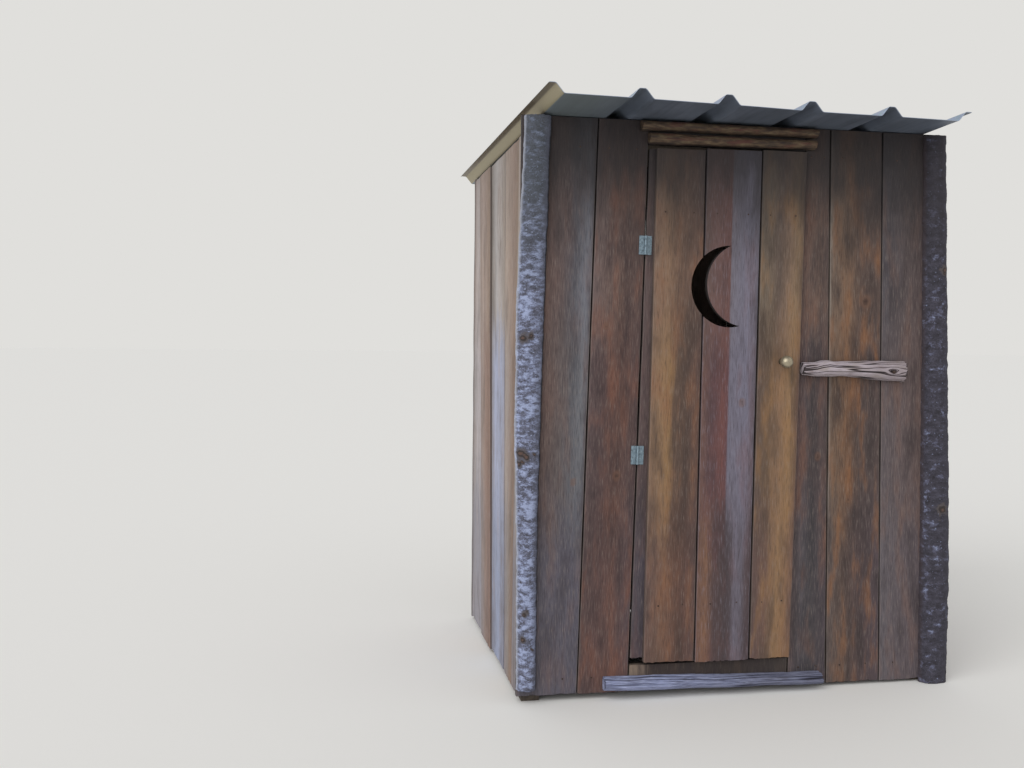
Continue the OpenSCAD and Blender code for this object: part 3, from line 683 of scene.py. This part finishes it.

# %% [markdown]
# The left slab is dark grey bark under blue-white lichen: patches with sharp edges, wider than high,
# whose middles are palest, in drifts a hand wide. None grows round the brown limb scars. The right slab
# is darker with few of them. Bark is rough, matt and nearly black in its cracks. Light and shade are
# painted across each slab: its right part is painted darker in shade, a nearly black painted shadow lies
# where its right edge meets the wall, and on the left slab the outer edge is painted light, as if lit from
# the left.

# %% Bark
def lichened_bark(name, bark, growth, patch, above, amount, specks, rim, head):
    """Bark under lichen. Its edge and middle colours, growth, lie where noise in patches of the given size is
    above a level, blended from the head's to the foot's. specks is the span of the small dots, and rim and
    head tint the outer edge and the top; on the left slab rim is painted light, as if lit from the left. The
    right part is painted shade, and the right edge a nearly black painted shadow where it meets the wall."""
    finish, tree, shader = new_finish(name, 0.92, ior=1.45)
    place, across, knot = carried(tree, "across", "knot")
    height = add(tree, "SeparateXYZ", {0: place}).outputs["Y"]
    mottle = field(tree, place, (0.035, 0.022, 1), 5.0, 0.7)
    fine = field(tree, place, (0.005, 0.004, 1), 4.0, 0.7)
    crust = field(tree, place, (patch[0], patch[1], 1), 6.0, 0.68)
    speck = field(tree, place, (0.010, 0.008, 1), 2.0, 0.5)
    drift = field(tree, place, (0.10, 0.09, 1), 2.0, 0.5)
    level = add(tree, "MapRange", {0: height, 1: 1.95, 2: 1.45, 3: above[0], 4: above[1]})
    level = add(tree, "Math", {0: knot, 1: 0.35, 2: level}, operation="MULTIPLY_ADD")
    level = add(tree, "Math", {0: drift, 1: 0.34, 2: level}, operation="MULTIPLY_ADD")
    level = add(tree, "Math", {0: level, 1: -0.17}, operation="ADD")
    grown = add(tree, "Math", {0: crust, 1: level}, operation="SUBTRACT")
    ragged = add(tree, "Math", {0: mottle, 1: 0.9, 2: -0.45}, operation="MULTIPLY_ADD")
    ragged = add(tree, "Math", {0: ragged, 1: knot}, operation="ADD")
    base = add(tree, "ValToRGB", {"Fac": mottle}, bark)
    base = laid(
        tree, base,
        ("#1f1c1f", fine, (0.50, 0.38), 0.65),
        (growth[0], grown, (-0.015, 0.01), amount),
        (growth[1], grown, (0.06, 0.08), amount),
        (growth[1], speck, specks, 0.7),
        ("#383538", fine, (0.46, 0.36), 0.4),
        (head, height, (1.40, 1.80), 0.62),
        # Painted shade: the right part of the slab in its mid bark colour.
        (ramp(bark)[1][1], across, (0.42, 0.22), 0.6),
        # The outer edge's tint; on the left slab this is painted light from the left.
        (rim, across, (0.84, 0.95), 0.6),
        # Painted shadow, nearly black, where the right edge meets the wall.
        ("#161416", across, (0.20, 0.13), 0.9),
        ("#57504f", ragged, (0.15, 0.40), 0.75),
        ("#2c2523", ragged, (0.50, 0.66), 0.8),
        ("#634e46", ragged, (0.84, 0.98), 0.8))
    rough = add(tree, "Math", {0: fine, 1: 0.5, 2: crust}, operation="MULTIPLY_ADD")
    closed(tree, shader, base, rough, 0.003, 0.8)
    return finish


LEFT_BARK = lichened_bark(
    "grey bark with lichen", "0.32 #4b4b58 0.5 #5e6070 0.68 #74778e", ("#828aa7", "#a4afd0"),
    (0.034, 0.017), (0.56, 0.485), 0.72, (0.64, 0.70), "#b4b8c6", "#41474a")
RIGHT_BARK = lichened_bark(
    "dark fir bark with specks", "0.3 #29262c 0.5 #3e3c47 0.7 #52505e", ("#5c5d72", "#8a93b0"),
    (0.034, 0.024), (0.60, 0.575), 0.7, (0.67, 0.73), "#443a3d", "#2f2c30")
LEFT_SCARS = [(0.103, 1.284, 0.016), (0.076, 1.292, 0.009), (0.103, 0.886, 0.018), (0.078, 0.872, 0.011),
              (0.108, 0.848, 0.011), (0.080, 0.325, 0.011), (0.085, 0.236, 0.011)]
RIGHT_SCARS = [(0.05, 1.55, 0.016), (0.07, 0.66, 0.018)]


def bark_relief(seed, scars):
    """Inward relief of bark: broad dips 2.5 mm, fine ones 1 mm, with humps at the limb scars, each given as
    its arc, height and radius."""
    def relief(p, arc):
        broad = 0.0012 * (1 + waves(arc, p, seed, 0.03, 0.035))
        dips = broad + 0.0006 * (1 + waves(arc, p, seed + 1, 0.007, 0.006, 30))
        ragged = 1 + 0.4 * waves(arc, p, seed + 2, 0.012, 0.010)
        humps = sum(np.exp(-((p - q) ** 2 + (arc - c) ** 2) / radius ** 2 * ragged) for c, q, radius in scars)
        return (dips.clip(0) + 0.002) * (1 - humps.clip(0, 1)), {"knot": humps.clip(0, 1)}
    return relief


SLABS = (("left", 31, LEFT_SCARS, LEFT_BARK), ("right", 33, RIGHT_SCARS, RIGHT_BARK))
for side, seed, scars, finish in SLABS:
    slab = log_shell("corner_slab_" + side, seed, bark_relief(seed, scars), rows=420)
    make_piece("bark_slab_" + side, [slab], [finish], "hut", ("corner_slab_" + side,), smooth=60)

# %% [markdown]
# Two peeled poles, split in half, are nailed over the door. Some inner bark stays on them in
# red-brown patches, longer than wide, over ochre wood.

# %% Lintel poles
def peeled_pole(name):
    """Ochre sapwood with patches of inner bark left on, dark where damp sits."""
    finish, tree, shader = new_finish(name, 0.8, ior=1.5)
    place, across, knot = carried(tree, "across", "knot")
    patch = field(tree, place, (0.016, 0.05, 1), 5.0, 0.65)
    damp = field(tree, place, (0.03, 0.11, 1), 4.0, 0.6)
    base = add(tree, "ValToRGB", {"Fac": patch}, "0.34 #372a22 0.46 #4a392c 0.56 #5f4e3b 0.72 #78694f")
    base = laid(
        tree, base,
        ("#2c2220", damp, (0.52, 0.66), 0.8),
        ("#55302a", damp, (0.47, 0.36), 0.7),
        ("#241c1b", across, (0.72, 1.0), 0.7),
        ("#33221b", knot, (0.3, 0.9), 0.9))
    closed(tree, shader, base, patch, 0.002, 1.0)
    return finish


def pole_relief(seed, scars):
    """Inward relief of a peeled pole: slow swells and low humps where limbs were."""
    def relief(p, arc):
        swell = 0.0011 * (1 + waves(arc, p, seed, 0.03, 0.12))
        swell = swell + 0.0004 * (1 + waves(arc, p, seed + 1, 0.006, 0.03, 30))
        humps = bump_at(p, arc, scars, 0.008, 1.0)
        return (swell.clip(0) + 0.001) * (1 - humps.clip(0, 1)), {"knot": humps.clip(0, 1)}
    return relief


POLE = peeled_pole("peeled pole, patches of inner bark")
for level, seed, scars in (("upper", 41, [(0.03, -0.05)]), ("lower", 45, [(0.035, 0.1), (0.03, -0.2)])):
    node = "lintel_pole_" + level
    pole = log_shell(node, seed, pole_relief(seed, scars), upright=False, rows=200, round_points=32)
    make_piece("pole_" + level, [pole], [POLE], "hut", (node,), smooth=60)

# %% [markdown]
# The log at the door's foot and the turn latch are driftwood: soft wood is gone and hard
# winter wood stands in ridges, with dark grooves between. The grooves are the lines where a
# smooth field passes through zero. Round the latch's eye the grain parts as water does round a stone:
# height over the eye's middle times 1 - radius**2 / distance**2.

# %% Grooved wood
def grooved_wood(name, ridge, groove, tone, dirt, far):
    """Colour from the groove value that the piece carries, with a fine grain along it. far is a colour, the
    span of the length where it comes in, and its share."""
    finish, tree, shader = new_finish(name, 0.9, ior=1.5)
    place, cut = carried(tree, "groove")
    along = add(tree, "SeparateXYZ", {0: place}).outputs["Y"]
    broad = field(tree, place, (0.02, 0.09, 1), 4.0, 0.6)
    fine = field(tree, place, (0.0022, 0.06, 1), 3.0, 0.6)
    base = add(tree, "ValToRGB", {"Fac": fine}, ridge)
    base = laid(
        tree, base,
        (tone, broad, (0.48, 0.66), 0.55),
        (dirt, broad, (0.44, 0.30), 0.55),
        (far[0], along, far[1], far[2]),
        (groove[0], cut, (0.15, 0.55), 0.85),
        (groove[1], cut, (0.55, 0.95), 0.95))
    closed(tree, shader, base, fine, 0.001, 0.8)
    return finish


LATCH_WOOD = grooved_wood(
    "driftwood", "0.3 #8a7f84 0.5 #ada2a9 0.75 #cdc4d0", ("#4a3d3e", "#1c1719"), "#93887c", "#75625c",
    ("#6f6160", (0.38, 0.62), 0.4))
SILL_WOOD = grooved_wood(
    "weathered log, silvered", "0.3 #5c6076 0.5 #7f85a5 0.70 #c2cae8", ("#3f4054", "#171620"), "#9aa2c4",
    "#3f3c46", ("#55535d", (-0.30, 0.10), 0.6))


def latch_relief(p, arc):
    """Ridges 4 mm high that part round the eye at the screw."""
    eye_p, eye_arc, stretch, radius = 0.566, 0.062, 0.42, 0.0115
    dp, da = (p - eye_p) * stretch, arc - eye_arc
    far = np.maximum(dp ** 2 + da ** 2, 1e-8)
    parted = da * (1 - radius ** 2 / far) + 0.005 * waves(p, 0 * p, 52, 0.12, 1.0)
    line = waves(parted, p, 55, 0.0135, 0.30, 26)
    eye = np.exp(-(far / (radius * 0.55) ** 2) ** 2)
    groove = np.maximum(np.exp(-(line / 0.30) ** 2), eye)
    swell = 0.0015 * (1 + waves(arc, p, 53, 0.03, 0.10)).clip(0)
    return 0.0035 * groove + swell + 0.004 * eye, {"groove": groove, "knot": eye}


def sill_relief(p, arc):
    """Long cracks up to 6 mm deep along a weathered half log."""
    line = waves(arc + 0.004 * waves(p, 0 * p, 62, 0.2, 1.0), p, 61, 0.017, 0.9, 24)
    small = waves(arc, p, 64, 0.007, 0.35, 24)
    groove = np.maximum(np.exp(-(line / 0.14) ** 2), 0.5 * np.exp(-(small / 0.16) ** 2))
    swell = 0.0018 * (1 + waves(arc, p, 63, 0.04, 0.13)).clip(0)
    return 0.005 * groove + swell, {"groove": groove, "knot": 0 * groove}


latch = log_shell("latch_bar", 51, latch_relief, upright=False, rows=360, round_points=96, ragged=0.008)
make_piece("driftwood_latch", [latch], [LATCH_WOOD], "latch", ("latch_bar",), smooth=70)
sill = log_shell("threshold_log", 61, sill_relief, upright=False, rows=360, round_points=72, ragged=0.007)
make_piece("weathered_sill", [sill], [SILL_WOOD], "hut", ("threshold_log",), smooth=70)

# %% [markdown]
# The roof is one sheet of galvanised steel, rolled into flat pans and ribs. Its profile is a line
# with rounded bends, given its thickness, and carried down the slope. Sheets that were walked on
# ripple a little, most at their edges.

# %% Roof sheet
RIB_PITCH = 0.305
RIB_HEIGHT = 0.033
RIB_BASE = 0.078
RIB_TOP = 0.024
SHEET_T = 0.0012
RIPPLE = 0.0012
FINE_STEP = 0.0005
SHEET_LEN = 1.5
OVERHANG = 0.224
FALL = math.atan(0.05)
SKEW = math.radians(3.2)
SHEET_SHIFT = -0.016
EAVE_Z = FRONT_HEAD + 0.003 + OVERHANG * math.tan(FALL)


def sheet_profile(step=0.005, bend=0.0035):
    """Height over the pans as x runs across: ramps to rib height, smoothed by a moving mean one bend wide."""
    half = 2.5 * RIB_PITCH + RIB_TOP / 2
    fine = np.arange(-half - 0.02, half + 0.02, FINE_STEP)
    from_rib = np.abs((fine / RIB_PITCH - 0.5) - np.round(fine / RIB_PITCH - 0.5)) * RIB_PITCH
    height = RIB_HEIGHT * np.clip((RIB_BASE / 2 - from_rib) / ((RIB_BASE - RIB_TOP) / 2), 0, 1)
    width = int(bend / FINE_STEP) * 2 + 1
    height = np.convolve(np.pad(height, width // 2, mode="edge"), np.ones(width) / width, mode="valid")
    x = np.linspace(-half, half, int(2 * half / step))
    return x, np.interp(x, fine, height)


def roof_shell(rows=130):
    """The profile and its copy one thickness higher, carried along y, then turned by skew and fall."""
    x, height = sheet_profile()
    across = np.concatenate([x, x[::-1]])
    up_line = np.concatenate([height, height[::-1] + SHEET_T])
    y = np.linspace(0, SHEET_LEN, rows)[:, None]
    x_grid = across[None, :] + 0 * y
    y_grid = y + 0 * x_grid
    edge = 0.35 + 0.65 * np.exp(-y / 0.12) + 0.4 * np.exp(-(SHEET_LEN - y) / 0.12)
    z_grid = up_line[None, :] + RIPPLE * edge * waves(x_grid, y_grid, 71, 0.22, 0.35)
    x_turned = x_grid * math.cos(SKEW) - y_grid * math.sin(SKEW)
    y_turned = x_grid * math.sin(SKEW) + y_grid * math.cos(SKEW)
    x_house = x_turned + SHEET_SHIFT
    y_house = -OVERHANG + y_turned * math.cos(FALL) + z_grid * math.sin(FALL)
    z_house = EAVE_Z - y_turned * math.sin(FALL) + z_grid * math.cos(FALL)
    under = np.concatenate([np.ones(len(x)), np.zeros(len(x))])[None, :] + 0 * y
    points = np.stack([x_house, y_house, z_house], -1)
    return shell(points, np.stack([x_grid, y_grid], -1), thin=True, under=under)


def galvanised_sheet(name):
    """Zinc over steel: grey above with dull spangle, dark and blue-grey below and lighter towards the left
    edge.
    Inside the first rib is painted light: its right leg tan as if lit from the left, its top a duller tan. A
    pale blue painted reflection of the sky runs along the front edge.
    """
    finish, tree, shader = new_finish(name, 0.5, metallic=0.35)
    place, under = carried(tree, "under")
    parts = add(tree, "SeparateXYZ", {0: place})
    x, y = parts.outputs["X"], parts.outputs["Y"]
    cloud = field(tree, place, (0.12, 0.35, 1), 5.0, 0.6)
    run = field(tree, place, (0.02, 0.5, 1), 4.0, 0.6)
    spangle = add(tree, "TexVoronoi", {"Vector": place, "Scale": 110.0})
    above = add(tree, "ValToRGB", {"Fac": cloud}, "0.3 #818d9f 0.55 #96a4b9 0.75 #adbbd2")
    above = laid(tree, above, ("#6c7078", run, (0.55, 0.75), 0.5))
    above = add(tree, "MixRGB", {"Fac": 0.08, 1: above, 2: spangle.outputs["Color"]}, blend_type="OVERLAY")
    below = add(tree, "ValToRGB", {"Fac": cloud}, "0.3 #5e6672 0.55 #727b8a 0.8 #8690a2")
    below = laid(
        tree, below,
        ("#454950", run, (0.5, 0.75), 0.5),
        ("#8a9490", x, (-0.42, -0.62), 0.5),
        # Painted light: the first rib's right leg tan, as if lit from the left.
        ("#a69b7e", x, (-0.7215, -0.7235), 0.92),
        # Painted light, weaker: the first rib's top a duller tan.
        ("#7f766b", x, (-0.749, -0.752), 0.8))
    share = add(tree, "MapRange", {0: under, 1: 0.4, 2: 0.6, 3: 0.0, 4: 1.0})
    base = add(tree, "MixRGB", {"Fac": share, 1: above, 2: below})
    # Painted reflection of the sky: pale blue along the front edge.
    base = laid(tree, base, ("#a8b4c8", y, (0.006, 0.002), 0.8))
    closed(tree, shader, base, cloud, 0.002, 0.3)
    return finish


ROOF = galvanised_sheet("galvanised steel sheet")
make_piece("ribbed_sheet", [roof_shell()], [ROOF], "hut", ("roof_sheet",), smooth=50)

# %% [markdown]
# Small round things are lathe work: a profile of (radius, distance) pairs swung round an axis.
# A cross recess in a screw head is a dip where the point is near one of two lines.

# %% Lathe
OUTWARDS = (0, -1, 0)


def lathe_shell(centre, axis, profile, around=24, cross=0.0, phase=0.0):
    """centre + axis * d + radius * (side cos t + over sin t), t from phase on. Near the two cross lines d is
    cross less."""
    axis = np.array(axis, float) / np.linalg.norm(axis)
    side = np.cross(axis, (0.0, 0.3, 1.0) if abs(axis[1]) > 0.5 else (0.0, 1.0, 0.0))
    side = side / np.linalg.norm(side)
    over = np.cross(axis, side)
    t = np.linspace(0, 2 * math.pi, around, endpoint=False) + phase
    radius, far = np.array(profile, float).T
    a, b = radius[:, None] * np.cos(t), radius[:, None] * np.sin(t)
    reach, half_width = radius.max() * 0.62, radius.max() * 0.16
    arm = (np.minimum(np.abs(a), np.abs(b)) < half_width) & (np.hypot(a, b) < reach)
    d = far[:, None] - cross * arm * (far[:, None] > far.max() * 0.4)
    points = np.array(centre) + d[..., None] * axis + a[..., None] * side + b[..., None] * over
    turn_share = np.linspace(0, 2 * math.pi * radius.max(), around + 1)[None, :]
    uv = np.stack([turn_share + 0 * far[:, None], np.cumsum(np.abs(far))[:, None] + 0 * turn_share], -1)
    return shell(points, uv, across=0 * a, knot=0 * a)


def dome(radius, height, rings=7):
    """Profile of a low round head: radius cos, height sin, closed at its middle by a tiny ring."""
    angle = np.linspace(0, math.pi / 2 * 0.985, rings)
    return [(radius, -0.0008)] + [(radius * math.cos(q), height * math.sin(q)) for q in angle]


print("profile of a dome 7 mm wide:", [(round(r, 4), round(d, 4)) for r, d in dome(0.0035, 0.001, 3)])

# %% [markdown]
# The knob is cast brass gone dull: a rose against the door, a waisted neck and a ball that is
# flattened in front. Brass is a metal, so its colour is its reflection's; handling keeps it smooth
# while the lacquer round it goes cloudy. The rose and the neck are given in shares of the knob's radius,
# with their distances from the door.

# %% Knob
ROSE_AND_NECK = ((0.52, -0.0005), (0.52, 0.0014), (0.50, 0.0024), (0.44, 0.003), (0.40, 0.0034),
                 (0.38, 0.006), (0.34, 0.010), (0.35, 0.015))
FLATTENED = 0.93


def dull_metal(name, codes, roughness, metallic, size=0.008, depth=0.0004, dirt="#4a443c", amount=0.5):
    """A metal with cloudy tarnish in patches of the given size, on Object coordinates."""
    finish, tree, shader = new_finish(name, roughness, metallic=metallic)
    place = add(tree, "TexCoord").outputs["Object"]
    cloud = field(tree, place, (size, size, size), 4.0, 0.6)
    base = add(tree, "ValToRGB", {"Fac": cloud}, codes)
    base = laid(tree, base, (dirt, cloud, (0.44, 0.30), amount))
    closed(tree, shader, base, cloud, depth, 0.5)
    return finish


BRASS = dull_metal("brass, dull lacquer", "0.3 #857c6c 0.5 #9c927e 0.75 #b2a890", 0.34, 0.6, 0.02, amount=0.3)
# The rose and the neck: tarnished brass painted dark, as painted shade under the ball.
BRASS_IN_PAINTED_SHADE = dull_metal("brass, tarnished, in painted shade", "0.3 #332c22 0.5 #463d30 0.75 #5c5242", 0.55, 0.5)
knob_low, knob_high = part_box("door_knob")
knob_r = (knob_high.x - knob_low.x) / 2
knob_at = ((knob_low.x + knob_high.x) / 2 - SHIFT_X, knob_high.y - SHIFT_Y, (knob_low.z + knob_high.z) / 2)
middle = knob_high.y - knob_low.y - knob_r
angles = np.linspace(math.radians(-62), math.radians(89), 26)
ball = [(knob_r * math.cos(q), middle + knob_r * math.sin(q) * (FLATTENED if q > 0 else 1.0)) for q in angles]
shank = [(knob_r * share, far) for share, far in ROSE_AND_NECK] + [(knob_r * 0.30, middle)]
shells = [lathe_shell(knob_at, OUTWARDS, ball, 64), lathe_shell(knob_at, OUTWARDS, shank, 48)]
shells[1]["slot"] = 1
make_piece("turned_knob", shells, [BRASS, BRASS_IN_PAINTED_SHADE], "door", ("door_knob",))

# %% [markdown]
# The hinges keep their solids and get zinc plate. Screws hold them, and wire nails hold the boards to the
# rails behind; only the heads show, and those of the nails are rusty. Heads are low domes, a few dozen
# faces each. The hinges' line leans, from its x at the foot to its x at the boards' heads.

# %% Hinges, screws and nails
HINGE_MIDDLES = (0.873, 1.615)
HINGE_H = 0.066
HINGE_LINE = (-0.4175, -0.3675)
LEAF_FACE = -0.0018
SCREWS = ((-0.36, 0.013), (0.0, 0.017), (0.36, 0.013))
ZINC = dull_metal("zinc plate", "0.3 #5f6f7a 0.5 #788a96 0.75 #93a5b0", 0.5, 0.5, dirt="#4c5256")
RUST = dull_metal("wire nail, rusty", "0.3 #2a201c 0.5 #40322c 0.75 #6a5a52", 0.7, 0.5, 0.004, dirt="#4a2c1e")


def coat(node, finish):
    """Gives a plain node of the frame one finish."""
    nodes[node].data.materials.clear()
    nodes[node].data.materials.append(finish)


def hinge_screws(side):
    """Three screws in a zigzag on each leaf, at (share of the leaf's height, distance from the hinge's line);
    side is -1 for the left leaf and 1 for the right."""
    made = []
    for middle in HINGE_MIDDLES:
        pin = part_way(HINGE_LINE, middle / FRONT_HEAD)
        for share, reach in SCREWS:
            place = (pin + side * reach, LEAF_FACE, middle + share * HINGE_H)
            made.append(lathe_shell(place, OUTWARDS, dome(0.0034, 0.0012), 12, 0.0006, share))
    return made


def nail_row(line_z, places, face):
    """Nails at x places along a rail at height line_z, each a little off the line."""
    draw = np.random.default_rng(int(line_z * 1000))
    off = draw.normal(0, 0.006, (len(places), 2))
    return [lathe_shell((x + dx, face + 0.0006, line_z + dz), OUTWARDS, dome(0.0032, 0.0007, 4), 8)
            for x, (dx, dz) in zip(places, off)]


def nailed(name, count, heights, inset, face):
    """Two nails through each board of a name at each height, a share of its width in from its edges."""
    made = []
    for z in heights:
        for k in range(1, count + 1):
            left, right, _, _ = board_edges(node_points(name + str(k)))
            ends = part_way(left, z / FRONT_HEAD), part_way(right, z / FRONT_HEAD)
            made += nail_row(z, [part_way(ends, inset), part_way(ends, 1 - inset)], face)
    return made


for node, metal in (("hinge_leaves_wall", ZINC), ("hinge_leaves_door", ZINC), ("latch_screw", RUST)):
    coat(node, metal)
make_piece("hinge_screws_wall", hinge_screws(-1), [ZINC], "hut", smooth=30)
make_piece("hinge_screws_door", hinge_screws(1), [ZINC], "door", smooth=30)
wall_nails = nailed("front_board_", 5, (0.085, 1.945), 0.22, 0.0)
door_nails = nailed("door_board_", 3, (0.337, 1.736), 0.25, -BOARD_T)
make_piece("nail_heads_wall", wall_nails, [RUST], "hut")
make_piece("nail_heads_door", door_nails, [RUST], "door")

# %% [markdown]
# The frame inside is sawn softwood that never saw the rain: pale brown, with saw marks and grain
# along each timber. The skids under the walls have weathered dark, and the front rail, the header and the
# jambs, seen in the door's gaps, are painted dark as painted shade. The nodes keep their solids; the pattern
# runs on Object coordinates, pulled long along the timber's own axis.

# %% Frame timber
CLEAN = ("#6a543e", "#8a7158", "#9c8468", "#55422f", "#a58d72")
# Dark fir: weathering on the skids, painted shade on the front rail, the header and the jambs.
WEATHERED_AND_SHADED = ("#38312b", "#4a4139", "#5b5147", "#28221e", "#6a5f54")


def sawn_timber(name, axis, codes):
    """Grain 6 mm across and 300 mm long down the given axis, saw marks 5 mm apart across it."""
    finish, tree, shader = new_finish(name, 0.85, ior=1.5)
    place = add(tree, "TexCoord").outputs["Object"]
    grain = field(tree, place, [0.3 if k == axis else 0.006 for k in range(3)], 3.0, 0.6)
    cloud = field(tree, place, [0.5 if k == axis else 0.06 for k in range(3)], 4.0, 0.6)
    marks = field(tree, place, [0.005 if k == axis else 0.2 for k in range(3)], 1.0, 0.5)
    base = add(tree, "ValToRGB", {"Fac": cloud}, f"0.3 {codes[0]} 0.5 {codes[1]} 0.75 {codes[2]}")
    base = laid(tree, base, (codes[3], grain, (0.52, 0.75), 0.7), (codes[4], marks, (0.55, 0.75), 0.25))
    closed(tree, shader, base, grain, 0.001, 0.6)
    return finish


TIMBERS = (
    ("sawn fir along x", 0, CLEAN,
     ("bottom_rail_back", "middle_rail_back", "header_back", "purlins", "door_ledges")),
    ("sawn fir along y", 1, CLEAN,
     ("bottom_rail_left", "bottom_rail_right", "middle_rail_left", "middle_rail_right", "plate_left",
      "plate_right")),
    ("sawn fir along z", 2, CLEAN,
     ("post_front_left", "post_front_right", "post_back_left", "post_back_right")),
    ("sawn fir in painted shade along x", 0, WEATHERED_AND_SHADED, ("bottom_rail_front", "header_front")),
    ("darkened fir along y", 1, WEATHERED_AND_SHADED, ("skids",)),
    ("sawn fir in painted shade along z", 2, WEATHERED_AND_SHADED, ("jamb_left", "jamb_right")))
for name, axis, codes, group in TIMBERS:
    timber = sawn_timber(name, axis, codes)
    for node in group:
        coat(node, timber)
print("timbers dressed:", sum(len(row[3]) for row in TIMBERS))

# %% [markdown]
# The set: a plain pale floor, a white world and one very soft lamp, far away at the front left and
# high, so that a surface turned to the camera shows about the colour written for it. The backdrop that
# the camera sees has the floor's own brightness, so the two meet without a line.

# %% Floor and light
LAMP_PLACE = (-6.5, -6.8, 5.8)
LAMP_STRENGTH = 1.60
SKY_STRENGTH = 0.56
FLOOR_SIZE = 90.0


def pale_floor():
    """A plain pale floor that keeps the house's shadow."""
    corners = [(x * FLOOR_SIZE, y * FLOOR_SIZE, 0) for x, y in ((-1, -1), (1, -1), (1, 1), (-1, 1))]
    mesh = bpy.data.meshes.new("floor")
    mesh.from_pydata(corners, [], [(0, 1, 2, 3)])
    finish, _, shader = new_finish("pale floor", 0.95)
    shader.inputs["Base Color"].default_value = tint("#f2f1ee")
    shader.inputs["Specular IOR Level"].default_value = 0.0
    mesh.materials.append(finish)
    floor = bpy.data.objects.new("floor", mesh)
    scene.collection.objects.link(floor)


def soft_lamp(place, strength):
    """A lamp so wide, 60 degrees, that its shadows have no edge; it shines from place to the door's foot."""
    lamp = bpy.data.lights.new("soft lamp", "SUN")
    lamp.angle = math.radians(60)
    lamp.energy = strength
    held = bpy.data.objects.new("soft lamp", lamp)
    scene.collection.objects.link(held)
    held.matrix_world = (-Vector(place)).to_track_quat("-Z", "Y").to_matrix().to_4x4()


world = bpy.data.worlds.new("white world")
world.use_nodes = True
tree = world.node_tree
tree.nodes.clear()
seen = add(tree, "LightPath")
shown = seen.outputs["Is Camera Ray"]
for ray in ("Is Glossy Ray", "Is Transmission Ray"):
    shown = add(tree, "Math", {0: shown, 1: seen.outputs[ray]}, operation="MAXIMUM")
lighting = add(tree, "Background", {"Color": tint("#ffffff"), "Strength": SKY_STRENGTH})
backdrop = add(tree, "Background", {"Color": tint("#e0dfdc"), "Strength": 1.0})
mixed = add(tree, "MixShader", {0: shown, 1: lighting, 2: backdrop})
add(tree, "OutputWorld", {"Surface": mixed})
scene.world = world
pale_floor()
soft_lamp(LAMP_PLACE, LAMP_STRENGTH)
scene.view_settings.view_transform = "Standard"
print("world and lamp set")
